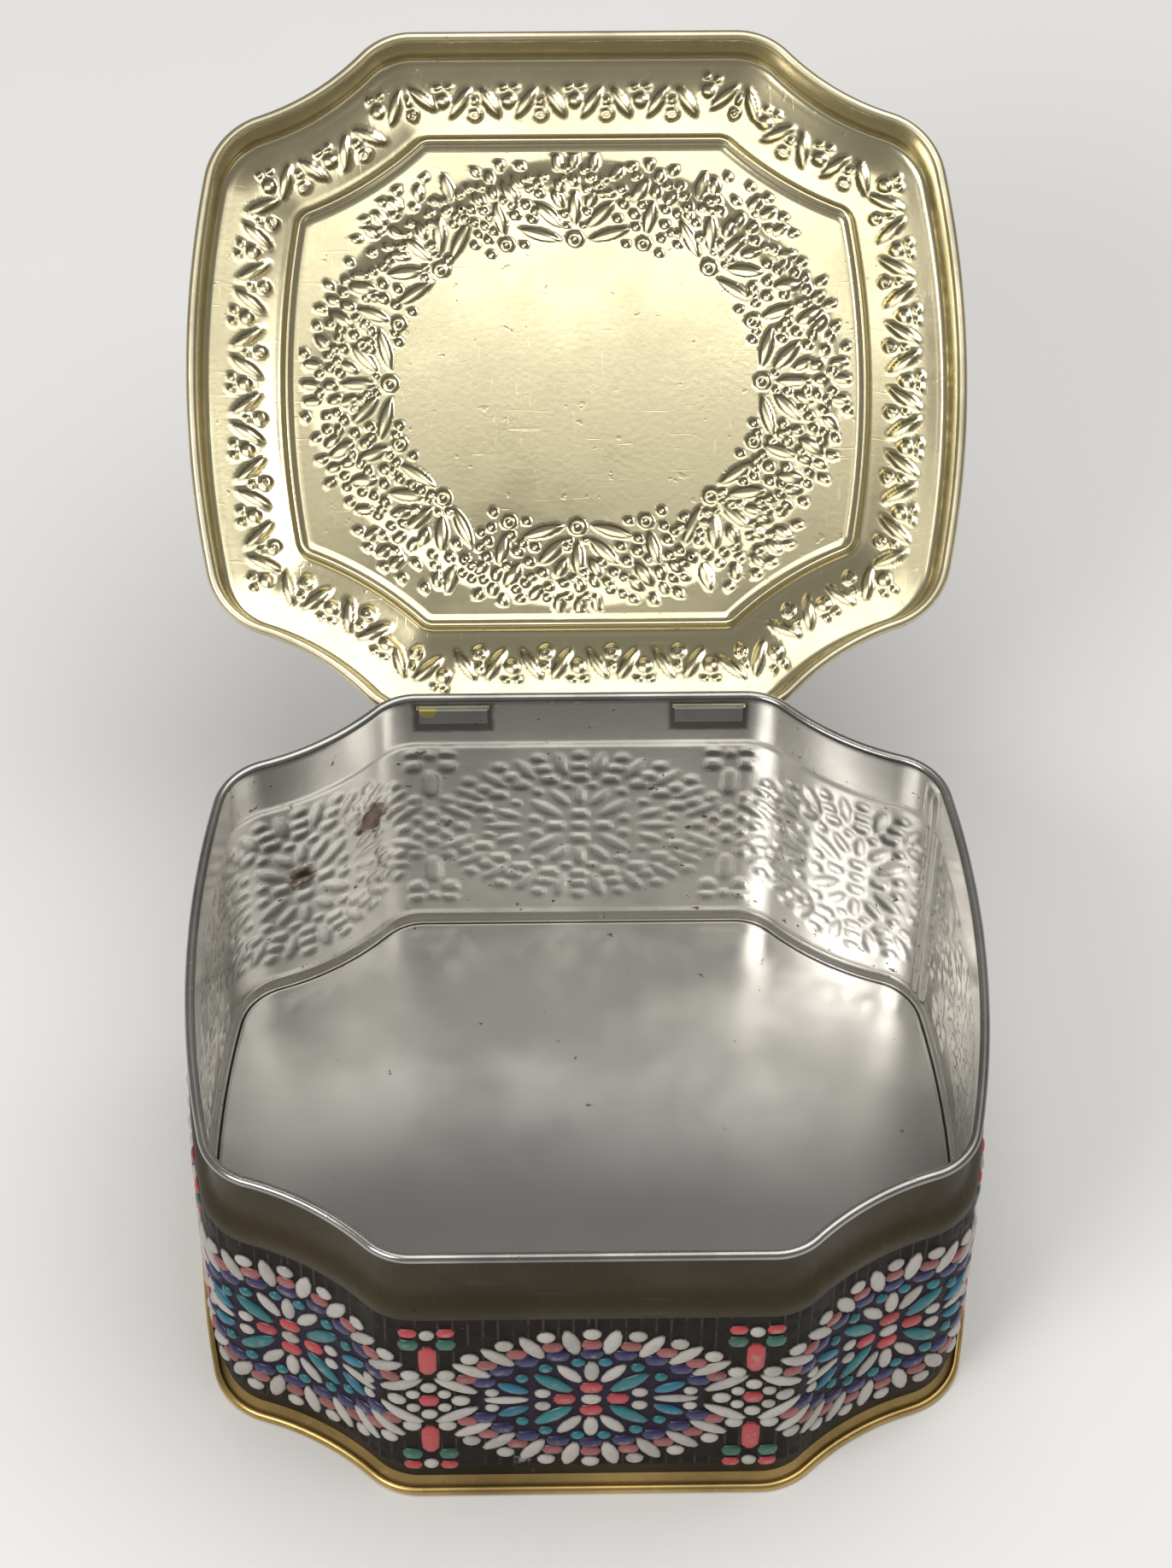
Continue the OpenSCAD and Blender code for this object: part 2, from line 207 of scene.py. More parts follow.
class Outline:
    """Eight rounds, four hollow corners, two bowed sides and two straight runs, at a distance inside the rim.

    A place on it is a segment number from 0 to 19, counted from the middle of the right side, and a fraction
    of that segment.
    """

    def __init__(self, inset, round_f, round_s):
        cx, cy = RIM_HALF_W + COVE_OUT_X, RIM_HALF_D + COVE_OUT_Y
        fy = RIM_HALF_D - inset - round_f
        r_c = COVE_R + inset
        fx = cx - math.sqrt((round_f + r_c) ** 2 - (cy - fy) ** 2)
        bow_x = RIM_HALF_W - SIDE_R
        vx, vy = cx - bow_x, cy
        d = math.hypot(vx, vy)
        near, far = SIDE_R - inset - round_s, r_c + round_s
        along = (near**2 - far**2 + d**2) / (2 * d)
        across = math.sqrt(near**2 - along**2)
        sx = bow_x + (along * vx + across * vy) / d
        sy = (along * vy - across * vx) / d
        turn_f = rounded_heading(cx - fx, cy - fy)
        turn_s = rounded_heading(cx - sx, cy - sy)
        side = rounded_heading(sx - bow_x, sy)
        self.front_x, self.front_y = fx, fy + round_f
        self.cx = np.array([bow_x, sx, cx, fx, 0.0])
        self.cy = np.array([0.0, sy, cy, fy, 0.0])
        self.radius = np.array([SIDE_R - inset, round_s, r_c, round_f, 0.0])
        self.start = np.radians([0.0, side, turn_s + 180, turn_f, 90.0])
        self.end = np.radians([side, turn_s, turn_f + 180, 90.0, 90.0])
        self.sense = np.array([1.0, 1.0, -1.0, 1.0, 1.0])
        lengths = self.radius * np.abs(self.end - self.start)
        lengths[4] = fx
        self.lengths = np.concatenate([lengths, lengths[::-1], lengths, lengths[::-1]])
        self.marks = np.concatenate([[0.0], np.cumsum(self.lengths)])
        self.total = float(self.marks[-1])

    def find(self, run):
        """Segment and fraction at lengths along the outline."""
        run = np.mod(run, self.total)
        seg = np.clip(np.searchsorted(self.marks, run, side="right") - 1, 0, 19)
        return seg, (run - self.marks[seg]) / self.lengths[seg]

    def place(self, seg, frac, out=0.0):
        """x, y and the outward direction there, a distance outside the outline."""
        quarter, k = seg // 5, seg % 5
        back = quarter % 2 == 1
        k = np.where(back, 4 - k, k)
        f = np.where(back, 1 - frac, frac)
        angle = self.start[k] + (self.end[k] - self.start[k]) * f
        c, s = np.cos(angle), np.sin(angle)
        reach = self.radius[k] + self.sense[k] * out
        straight = k == 4
        x = np.where(straight, self.front_x * (1 - f), self.cx[k] + reach * c)
        y = np.where(straight, self.front_y + out, self.cy[k] + reach * s)
        nx = np.where(straight, 0.0, self.sense[k] * c)
        ny = np.where(straight, 1.0, self.sense[k] * s)
        flip_x = np.where((quarter == 1) | (quarter == 2), -1.0, 1.0)
        flip_y = np.where(quarter >= 2, -1.0, 1.0)
        return x * flip_x, y * flip_y, nx * flip_x, ny * flip_y

    def at_run(self, run, out=0.0):
        return self.place(*self.find(run), out)

    def back_run(self, x):
        """Length along the outline of a place on the straight back."""
        return float(self.marks[4]) + self.front_x - x


RIM_LINE = Outline(0.0, FRONT_ROUND_R, SIDE_ROUND_R)
GROOVE_LINE = Outline(GROOVE_IN, GROOVE_CORNER_R, GROOVE_CORNER_R)


def column_runs():
    """Even steps along the rim, with columns on the edges of the strap windows."""
    runs = np.arange(COLUMNS) * RIM_LINE.total / COLUMNS
    for x in (-SLOT_X, SLOT_X):
        for edge in (-SLOT_HALF_W, SLOT_HALF_W):
            wanted = RIM_LINE.back_run(x + edge)
            runs[np.argmin(np.abs(runs - wanted))] = wanted
    return runs


def window_columns(runs):
    """For each strap window, the first and the last column at its edges."""
    spans = []
    for x in (SLOT_X, -SLOT_X):
        first = int(np.argmin(np.abs(runs - RIM_LINE.back_run(x + SLOT_HALF_W))))
        last = int(np.argmin(np.abs(runs - RIM_LINE.back_run(x - SLOT_HALF_W))))
        spans.append((first, last))
    return spans


# Bead patterns. A bead is (across, up, turn in degrees, half length, half width, form, colour).

OVAL, LEAF, BLOCK, RING = range(4)
LEAF_TAPER, RING_R = 0.28, 0.68
BEAD_COLOURS = ("white", "coral", "pink", "teal", "green", "navy", "blue")
WHITE, CORAL, PINK, TEAL, GREEN, NAVY, BLUE = range(7)


def four_ways(bead):
    """A bead and its mirror images across and up."""
    x, y, turn, a, b, form, colour = bead
    found = {}
    for fx in (1, -1):
        for fy in (1, -1):
            key = (round(x * fx, 3) + 0.0, round(y * fy, 3) + 0.0)
            found[key] = (x * fx, y * fy, turn * fx * fy, a, b, form, colour)
    return list(found.values())


def medallion():
    """A rosette of the wall band."""
    rows = 5
    step = 90 / (rows + 0.39)
    beads = [
        (0, 0, 0, 2.0, 1.7, OVAL, WHITE),
        (0, 3.9, 0, 2.15, 1.75, BLOCK, CORAL),
        (4.8, 0, 0, 2.1, 1.7, BLOCK, CORAL),
        (0, 9.6, 90, 3.5, 1.5, OVAL, WHITE),
        (3.9, 8.8, 54, 3.8, 1.45, LEAF, WHITE),
        (6.8, 5.5, 41, 4.7, 1.75, LEAF, TEAL),
        (8.7, 2.2, 0, 1.6, 1.45, OVAL, WHITE),
        (15.2, 0, 0, 4.3, 1.15, OVAL, WHITE),
        (14.0, 3.9, 27, 3.3, 1.4, LEAF, BLUE),
        (17.8, 2.6, 0, 1.4, 1.25, OVAL, WHITE),
        (2.4, 12.7, 0, 1.4, 1.3, OVAL, TEAL),
        (8.2, 10.8, 0, 1.4, 1.35, OVAL, TEAL),
        (12.4, 7.4, 0, 1.3, 1.3, OVAL, TEAL),
    ]
    for j in range(rows):
        leaf = math.radians(90 - (j + 0.5) * step)
        turn = max(33.0, math.degrees(leaf) - 5)
        length = 4.9 if j == rows - 1 else 4.3
        beads.append((25 * math.cos(leaf), 19.5 * math.sin(leaf), turn, length, 1.7 - 0.06 * j, LEAF, WHITE))
        between = math.radians(90 - j * step)
        c, s = math.cos(between), math.sin(between)
        beads.append((28.2 * c, 22.1 * s, 0, 1.8, 1.7, OVAL, WHITE))
        beads.append((24.2 * c, 18.6 * s, 0, 2.0, 1.5, BLOCK, PINK))
        beads.append((20.9 * c, 15.5 * s, 0, 2.2, 1.6, BLOCK, NAVY))
    return beads


def tower():
    """The upright figure between two rosettes."""
    return [
        (0, 0, 0, 1.9, 1.8, BLOCK, CORAL),
        (0, 4.6, 0, 1.65, 1.6, OVAL, WHITE),
        (2.8, 2.3, 0, 1.35, 1.35, OVAL, WHITE),
        (5.7, 0, 0, 1.85, 1.7, OVAL, WHITE),
        (0, 13.6, 90, 4.9, 1.75, BLOCK, CORAL),
        (3.3, 19.0, 0, 1.85, 1.7, BLOCK, GREEN),
        (3.3, 22.9, 0, 1.7, 1.3, BLOCK, CORAL),
        (0, 22.3, 0, 1.5, 1.6, OVAL, WHITE),
    ]


@lru_cache
def wall_pattern():
    """All beads of the wall: across is the length along the rim's outline, up is the height."""
    pitch = RIM_LINE.total / ROSETTES
    beads = []
    for k in range(ROSETTES):
        for run, figure in ((k * pitch, medallion()), ((k + 0.5) * pitch, tower())):
            for bead in figure:
                for x, y, *rest in four_ways(bead):
                    beads.append((run + x, BAND_MID + y, *rest))
    return beads


def turned(beads, x, y, angle):
    """Beads of a figure that points up, moved to a place and turned."""
    c, s = math.cos(math.radians(angle)), math.sin(math.radians(angle))
    return [(x + bx * c - by * s, y + bx * s + by * c, turn + angle, *rest) for bx, by, turn, *rest in beads]


def floret():
    """A fan of leaves, pills and dots over a ring bead; it opens upward."""
    rng = np.random.default_rng(5)
    beads = [
        (0, 0, 0, 1.6, 1.6, RING, WHITE),
        (0, 6.2, 90, 3.6, 1.2, LEAF, TEAL),
    ]
    dots = (
        (10.0, -1.1, 0.8), (8.4, 3.9, 0.9), (9.6, 6.8, 1.0),
        (11.7, 4.8, 1.1), (7.0, 9.0, 0.95), (1.6, 2.6, 0.6))
    for side in (1, -1):
        beads.append((side * 6.8, 0.9, side * 16, 4.3, 1.2, LEAF, WHITE))
        beads.append((side * 5.0, 4.8, side * 43, 3.8, 1.3, LEAF, WHITE))
        beads.append((side * 3.3, 8.0, side * 64, 2.2, 1.05, LEAF, CORAL))
        beads.append((side * 12.8, 9.4, side * 57, 3.0, 1.3, LEAF, WHITE))
        for x, y, r in dots:
            beads.append((side * x, y, 0, r, r, OVAL, TEAL))
    for radius, angles, a, b, colour in (
            (11.4, (0, 17, 33, 50), 1.5, 0.95, CORAL), (13.6, (8, 25, 42), 0.9, 0.9, TEAL),
            (15.6, (0, 14, 31, 45), 1.9, 1.0, WHITE), (17.7, (7, 21, 37), 1.0, 0.85, CORAL)):
        for angle in angles:
            for side in (1, -1) if angle else (1,):
                t = math.radians(90 - side * (angle + rng.uniform(-2, 2)))
                reach = radius + rng.uniform(-0.4, 0.4)
                turn = math.degrees(t) + rng.uniform(-14, 14)
                beads.append((reach * math.cos(t), reach * math.sin(t), turn, a, b, OVAL, colour))
    return beads


def small_floret():
    """The narrower fan between two florets."""
    beads = [
        (0, 0, 0, 1.4, 1.4, RING, WHITE),
        (0, 5.4, 90, 3.5, 1.25, LEAF, TEAL),
        (0, 10.6, 90, 1.6, 1.0, OVAL, WHITE),
        (0, 13.6, 90, 1.4, 1.0, OVAL, CORAL),
    ]
    dots = (
        (3.4, -1.2, 0.85), (3.2, 1.8, 0.9), (3.2, 4.6, 0.95),
        (2.7, 7.6, 0.95), (2.2, 12.2, 0.9), (4.4, 12.6, 0.9))
    for side in (1, -1):
        for x, y, r in dots:
            beads.append((side * x, y, 0, r, r, OVAL, CORAL))
        beads.append((side * 3.2, 10.0, 90 - side * 25, 1.7, 1.0, OVAL, WHITE))
        beads.append((side * 2.4, 15.2, 90 - side * 12, 1.3, 0.85, OVAL, TEAL))
    return beads


def garland_unit():
    """One repeat of the lid's border; up is outward."""
    return [
        (-2.9, 0.2, 58, 3.9, 1.15, LEAF, WHITE),
        (2.9, 0.2, -58, 3.9, 1.15, LEAF, WHITE),
        (0, -2.3, 0, 1.15, 1.15, RING, CORAL),
        (6.2, 0.6, 0, 1.5, 1.5, OVAL, TEAL),
        (5.1, 3.2, 0, 0.75, 0.75, OVAL, WHITE),
        (7.2, 3.2, 0, 0.75, 0.75, OVAL, WHITE),
        (0.0, 0.4, 90, 1.0, 0.6, OVAL, PINK),
    ]


def ring_dots():
    """Dots laid on a sunflower spiral inside the panel's oval, for the gaps between its florets."""
    count = np.arange(DOT_COUNT)
    far, turn = DOT_STEP * np.sqrt(count), count * GOLDEN_TURN
    x, y = far * np.cos(turn), far * np.sin(turn)
    out = oval_distance(x, y)
    near = np.nonzero((out > DOT_BAND[0]) & (out < DOT_BAND[1]))[0]
    return [(float(x[k]), float(y[k]), 0, DOT_R, DOT_R, OVAL, (WHITE, CORAL, TEAL)[k % 3]) for k in near]


def garland(unit):
    """The garland's beads all round the border, at even steps along its lane."""
    fine = np.linspace(0.0, RIM_LINE.total, LANE_STEPS)
    x, y, _, _ = RIM_LINE.at_run(fine, -GARLAND_INSET)
    run = np.concatenate([[0.0], np.cumsum(np.hypot(np.diff(x), np.diff(y)))])
    count = 4 * round(run[-1] / unit / 4)
    beads = []
    for k in range(count):
        at = np.interp((k + 0.5) * run[-1] / count, run, fine)
        px, py, ox, oy = (float(v) for v in RIM_LINE.at_run(np.array(at), -GARLAND_INSET))
        beads += turned(garland_unit(), px, py, math.degrees(math.atan2(oy, ox)) - 90)
    return beads


def floret_places():
    """Places of the large and the small florets on the panel, as (across, up, direction in degrees)."""
    large = [(0, 28.2, 90), (26.2, 22.4, 41), (36.4, 0, 0), (26.2, -22.4, -41),
             (0, -28.2, -90), (-26.2, -22.4, -139), (-36.4, 0, 180), (-26.2, 22.4, 139)]
    small = []
    for x, y, angle in ((13.4, 27.2, 76), (34.6, 11.8, 20)):
        c, s = math.cos(math.radians(angle)), math.sin(math.radians(angle))
        for fx in (1, -1):
            for fy in (1, -1):
                small.append((fx * x, fy * y, math.degrees(math.atan2(fy * s, fx * c))))
    return large, small


@lru_cache
def lid_pattern(unit):
    """All beads of the lid, in its own plane."""
    large, small = floret_places()
    inner = []
    for figure, spots in ((floret, large), (small_floret, small)):
        for x, y, angle in spots:
            inner += turned(figure(), x, y, angle - 90)
    inner += ring_dots()
    panel_w, panel_h = RIM_HALF_W - GROOVE_IN - GROOVE_HALF, RIM_HALF_D - GROOVE_IN - GROOVE_HALF
    inner = [b for b in inner if abs(b[0]) < panel_w - b[4] and abs(b[1]) < panel_h - b[4]]
    return thinned(garland(unit) + inner)


def reach_toward(bead, angle):
    """Distance from a bead's middle to its edge in a direction."""
    turn, a, b = bead[2:5]
    t = angle - math.radians(turn)
    return a * b / math.hypot(b * math.cos(t), a * math.sin(t))


def thinned(beads):
    """Leaves out a bead that would overlap one placed before it."""
    kept = []
    for bead in beads:
        for o in kept:
            dx, dy = bead[0] - o[0], bead[1] - o[1]
            if abs(dx) + abs(dy) > FAR_APART:
                continue
            angle = math.atan2(dy, dx)
            if math.hypot(dx, dy) < CLOSENESS * (reach_toward(bead, angle) + reach_toward(o, angle)):
                break
        else:
            kept.append(bead)
    return kept


def bead_heights(x, y, beads, wrap=None):
    """Relief from 0 to 1 of a bead pattern at many places."""
    height = np.zeros_like(x)
    for bx, by, turn, a, b, form, _ in beads:
        dx = x - bx
        if wrap:
            dx = (dx + wrap / 2) % wrap - wrap / 2
        near = np.nonzero((np.abs(dx) < a + b) & (np.abs(y - by) < a + b))
        if near[0].size == 0:
            continue
        c, s = math.cos(math.radians(turn)), math.sin(math.radians(turn))
        lx = (dx[near] * c + (y[near] - by) * s) / a
        ly = (-dx[near] * s + (y[near] - by) * c) / b
        if form == RING:
            local = 1 - ((np.hypot(lx, ly) - RING_R) / 0.36) ** 2
        elif form == LEAF:
            local = 1 - lx**2 - (ly / np.maximum(1 - LEAF_TAPER * lx**2, 0.1)) ** 2
        elif form == BLOCK:
            local = 1 - lx**4 - ly**4
        else:
            local = 1 - lx**2 - ly**2
        height[near] = np.maximum(height[near], np.clip(local, 0, 1) ** 0.5)
    return height


# Meshes


def new_piece(name, bm, body, finishes, smooth_angle=70):
    """A mesh object that rides on a body, from a finished bmesh."""
    mesh = bpy.data.meshes.new(name)
    bm.to_mesh(mesh)
    bm.free()
    for key in finishes:
        mesh.materials.append(finish(key))
    mesh.shade_smooth()
    mesh.set_sharp_from_angle(angle=math.radians(smooth_angle))
    piece = bpy.data.objects.new(name, mesh)
    bpy.context.scene.collection.objects.link(piece)
    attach(piece, body)
    return piece


def swept_grid(places, row_material, relief=None, closed_rows=True, folds=0):
    """A grid laid on rows of places round the tin, welded where it meets itself.

    Where the rows aren't closed, the first and the last row are poles. The fold of a column is its distance
    from the nearest of so many even places round the tin, as a share of the widest.
    """
    rows, cols = places.shape[:2]
    steps = rows if closed_rows else rows - 1
    bm = bmesh.new()
    bmesh.ops.create_grid(bm, x_segments=cols, y_segments=steps, size=1.0)
    bm.verts.ensure_lookup_table()
    flat = np.array([v.co[:2] for v in bm.verts])
    col = np.rint((flat[:, 0] + 1) / 2 * cols).astype(int)
    row = np.rint((flat[:, 1] + 1) / 2 * steps).astype(int)
    cell = bm.faces.layers.int.new("cell")
    for face in bm.faces:
        mid = face.calc_center_median()
        r = int((mid.y + 1) / 2 * steps)
        face.material_index = row_material[r]
        face[cell] = r * cols + int((mid.x + 1) / 2 * cols)
    spot = places[row % rows, col % cols] * MM
    dents = bm.verts.layers.float.new("relief")
    fold = bm.verts.layers.float.new("fold")
    shade = relief[row % rows, col % cols] if relief is not None else np.zeros(len(row))
    for vert, p, h, c in zip(bm.verts, spot.tolist(), shade.tolist(), col.tolist()):
        vert.co = p
        vert[dents] = h
        vert[fold] = 2 * abs((c / cols * folds + 0.5) % 1 - 0.5) if folds else 1.0
    index = {(r, c): v for r, c, v in zip(row.tolist(), col.tolist(), bm.verts)}
    targets = {}
    for (r, c), vert in index.items():
        goal = (r % rows, c % cols)
        if not closed_rows and r in (0, rows - 1):
            goal = (r, 0)
        if goal != (r, c):
            targets[vert] = index[goal]
    bmesh.ops.weld_verts(bm, targetmap=targets)
    return bm, cell


def cut_cells(bm, cell, row_span, col_span):
    """Takes out the faces between two rows and two columns."""
    gone = []
    for face in bm.faces:
        r, c = divmod(face[cell], COLUMNS)
        if row_span[0] <= r < row_span[1] and col_span[0] <= c < col_span[1]:
            gone.append(face)
    bmesh.ops.delete(bm, geom=gone, context="FACES")


def open_edges(bm, side):
    """Edges left open on the right, side 1, or on the left, side -1."""
    return [e for e in bm.edges if e.is_boundary and e.verts[0].co.x * side > 0]


def arc_rows(cu, cz, ru, rz, start, end, steps):
    """Places (out, height) along an arc from one angle to another, in degrees."""
    angles = [math.radians(start + (end - start) * i / steps) for i in range(steps + 1)]
    return [(cu + ru * math.cos(t), cz + rz * math.sin(t)) for t in angles]


def bend(start, end, share):
    """A smooth way from one value to another, as the share goes from 0 to 1."""
    return end + (start - end) * (1 + np.cos(np.pi * share)) / 2


# Materials


def add_node(tree, kind, settings=None, inputs=None):
    node = tree.nodes.new(kind)
    for key, value in (settings or {}).items():
        setattr(node, key, value)
    for key, value in (inputs or {}).items():
        if isinstance(value, bpy.types.NodeSocket):
            tree.links.new(value, node.inputs[key])
        else:
            node.inputs[key].default_value = value
    return node


def mixed(tree, factor, a, b):
    """A colour between a and b; each is a socket or an RGB triple."""
    node = tree.nodes.new("ShaderNodeMix")
    node.data_type = "RGBA"
    for index, value in ((0, factor), (6, a), (7, b)):
        if isinstance(value, bpy.types.NodeSocket):
            tree.links.new(value, node.inputs[index])
        elif index == 0:
            node.inputs[index].default_value = value
        else:
            node.inputs[index].default_value = (*value, 1.0)
    return node.outputs[2]


def mapped(tree, value, low, high, to_low=0.0, to_high=1.0):
    node = add_node(tree, "ShaderNodeMapRange", {"interpolation_type": "SMOOTHSTEP"}, {
        "Value": value, "From Min": low, "From Max": high, "To Min": to_low, "To Max": to_high})
    return node.outputs["Result"]


def computed(tree, operation, a, b=0.0):
    return add_node(tree, "ShaderNodeMath", {"operation": operation}, {0: a, 1: b}).outputs[0]


def plus(tree, a, b):
    return computed(tree, "ADD", a, b)


def minus(tree, a, b):
    return computed(tree, "SUBTRACT", a, b)


def times(tree, a, b):
    return computed(tree, "MULTIPLY", a, b)


def axis(tree, place, key):
    """The X, Y or Z part of a place."""
    return add_node(tree, "ShaderNodeSeparateXYZ", None, {"Vector": place}).outputs[key]


def attribute(tree, name):
    """A value that the piece's mesh carries."""
    return add_node(tree, "ShaderNodeAttribute", {"attribute_name": name}).outputs["Fac"]


def noise(tree, place, scale, detail=3.0, roughness=0.55, stretch=None, offset=(0.0, 0.0, 0.0)):
    if stretch or any(offset):
        place = add_node(tree, "ShaderNodeMapping", None, {
            "Vector": place, "Scale": stretch or (1.0, 1.0, 1.0), "Location": offset}).outputs[0]
    return add_node(tree, "ShaderNodeTexNoise", None, {
        "Vector": place, "Scale": scale, "Detail": detail, "Roughness": roughness}).outputs["Fac"]


def scaled(values, share):
    """A colour or a place times a share."""
    return tuple(v * share for v in values)


def wear_group():
    """Node group for worn sheet metal: clouds, rust spots, fine scratches and a height for bump."""
    name = "sheet wear"
    if name in bpy.data.node_groups:
        return bpy.data.node_groups[name]
    tree = bpy.data.node_groups.new(name, "ShaderNodeTree")
    tree.interface.new_socket("Place", in_out="INPUT", socket_type="NodeSocketVector")
    for out in ("Clouds", "Rust", "Scratches", "Height"):
        tree.interface.new_socket(out, in_out="OUTPUT", socket_type="NodeSocketFloat")
    place = tree.nodes.new("NodeGroupInput").outputs["Place"]
    end = tree.nodes.new("NodeGroupOutput")
    clouds = noise(tree, place, 32.0, 5.0, 0.6)
    specks = mapped(tree, noise(tree, place, 420.0, 2.0, 0.5), 0.69, 0.75)
    patches = mapped(tree, noise(tree, place, 75.0, 6.0, 0.7, offset=(0.3, 0.1, 0.7)), 0.66, 0.74)
    rust = computed(tree, "MAXIMUM", specks, patches)
    fine_a = mapped(tree, noise(tree, place, 90.0, 2.0, 0.5, (14.0, 0.7, 2.0)), 0.66, 0.72)
    fine_b = mapped(tree, noise(tree, place, 80.0, 2.0, 0.5, (0.8, 15.0, 3.0), (0.5, 0.2, 0.0)), 0.67, 0.73)
    scratches = computed(tree, "MAXIMUM", fine_a, fine_b)
    grain = times(tree, noise(tree, place, 900.0, 2.0, 0.5), 0.35)
    height = minus(tree, minus(tree, grain, times(tree, scratches, 0.2)), times(tree, rust, 0.6))
    for out, socket in (("Clouds", clouds), ("Rust", rust), ("Scratches", scratches), ("Height", height)):
        tree.links.new(socket, end.inputs[out])
    return tree


def start_material(name):
    """A material with an empty tree, its Principled shader and the piece's own coordinates."""
    material = bpy.data.materials.new(name)
    material.use_nodes = True
    tree = material.node_tree
    tree.nodes.clear()
    shader = tree.nodes.new("ShaderNodeBsdfPrincipled")
    out = tree.nodes.new("ShaderNodeOutputMaterial")
    tree.links.new(shader.outputs[0], out.inputs[0])
    place = tree.nodes.new("ShaderNodeTexCoord").outputs["Object"]
    return material, tree, shader, place


def bumped(tree, shader, height, strength):
    inputs = {"Height": height, "Strength": strength, "Distance": BUMP_DEPTH * MM}
    bump = add_node(tree, "ShaderNodeBump", None, inputs)
    tree.links.new(bump.outputs[0], shader.inputs["Normal"])


def overlay(tree, shader, factor, colour):
    """Lays a colour over what already feeds the shader's base colour."""
    under = shader.inputs["Base Color"].links[0].from_socket
    tree.links.new(mixed(tree, factor, under, colour), shader.inputs["Base Color"])


# Finishes. Each lays its nodes in a material's tree, and shade turns a colour's name and a share into a colour.

# The worn metals: bright and dark tone, roughness, how metallic, how much of the rust shows, how strongly
# painted shade darkens the dents' flanks, and how strongly the grain and the gloss show
WORN = {
    "inside": dict(
        bright=("tinplate", 1.1), dark=("tinplate", 0.85), rough=(0.14, 0.27), metallic=0.9, spots=0.9,
        relief=0.3, grain=0.4),
    "lid inside": dict(
        bright=("lacquer", 1.0), dark=("lacquer", 0.8), rough=(0.15, 0.26), metallic=0.94, spots=0.12,
        relief=0.8),
    "edge": dict(bright=("edge", 1.0), dark=("edge", 0.55), rough=(0.28, 0.42), metallic=0.95, spots=0.35),
    "neck": dict(
        bright=("olive", 1.0), dark=("olive", 0.75), rough=(0.42, 0.58), metallic=0.2, spots=0.5,
        dirt="ground", gloss=0.25),
    "rim": dict(
        bright=("tinplate", 0.54), dark=("tinplate", 0.26), rough=(0.2, 0.27), metallic=0.92, spots=0.5),
    "waist": dict(
        bright=("gold", 0.07), dark=("gold", 0.03), rough=(0.3, 0.5), metallic=0.6, spots=0.5, gloss=0.3),
    "stripe": dict(bright=("gold", 0.7), dark=("gold", 0.4), rough=(0.29, 0.4), metallic=0.92, spots=0.5),
    "strap": dict(
        bright=("tinplate", 0.62), dark=("tinplate", 0.34), rough=(0.3, 0.5), metallic=0.85, spots=0.8),
    "wire": dict(bright=("wire", 1.0), dark=("wire_shade", 1.0), rough=(0.35, 0.55), metallic=0.95, spots=1.0),
    "base": dict(
        bright=("gold", 1.1), dark=("gold", 0.5), rough=(0.29, 0.37), metallic=0.92, spots=0.12, grain=0.05),
}


def worn_metal(tree, shader, place, shade, bright, dark, rough, metallic, spots,
               dirt="rust", relief=0.0, grain=0.25, gloss=0.5):
    """Sheet metal whose tone drifts in clouds, with rust, scratches and, where relief is set, painted shade in
    the hollows.
    """
    bright, dark = shade(*bright), shade(*dark)
    wear = add_node(tree, "ShaderNodeGroup", {"node_tree": wear_group()}, {"Place": place})
    base = mixed(tree, mapped(tree, wear.outputs["Clouds"], 0.3, 0.72), dark, bright)
    light = tuple(min(1.0, v * 1.25 + 0.03) for v in bright)
    base = mixed(tree, times(tree, wear.outputs["Scratches"], 0.2), base, light)
    # Painted shade: the flanks of the dents darken, while their crowns and the flat sheet keep their tone.
    if relief:
        dent = attribute(tree, "relief")
        foot, crown = mapped(tree, dent, 0.02, 0.5, 0.0, relief), mapped(tree, dent, 0.5, 0.95, 0.0, relief)
        base = mixed(tree, minus(tree, foot, crown), base, scaled(dark, 0.35))
    rust = times(tree, wear.outputs["Rust"], spots)
    base = mixed(tree, rust, base, shade(dirt))
    tree.links.new(base, shader.inputs["Base Color"])
    roughness = mapped(tree, wear.outputs["Clouds"], 0.3, 0.7, rough[1], rough[0])
    tree.links.new(roughness, shader.inputs["Roughness"])
    tree.links.new(times(tree, minus(tree, 1.0, rust), metallic), shader.inputs["Metallic"])
    shader.inputs["Specular IOR Level"].default_value = gloss
    bumped(tree, shader, wear.outputs["Height"], grain)


def box_distance(tree, place, middle, half):
    """Distance outside a box on the back wall that is mirrored across: middle and half are (x, z) lengths."""
    gaps = []
    ways = computed(tree, "ABSOLUTE", axis(tree, place, "X")), axis(tree, place, "Z")
    for value, centre, reach in zip(ways, middle, half):
        gap = computed(tree, "ABSOLUTE", minus(tree, value, centre * MM))
        gaps.append(minus(tree, gap, reach * MM))
    return computed(tree, "MAXIMUM", *gaps)


def ragged(tree, distance, cloud, reach):
    """A distance that a noise moves by up to half the reach, so that its edge isn't a clean line."""
    return plus(tree, distance, times(tree, minus(tree, cloud, 0.5), reach))


def spot_distance(tree, place, spot):
    ends = {0: place, 1: scaled(spot, MM)}
    return add_node(tree, "ShaderNodeVectorMath", {"operation": "DISTANCE"}, ends).outputs["Value"]


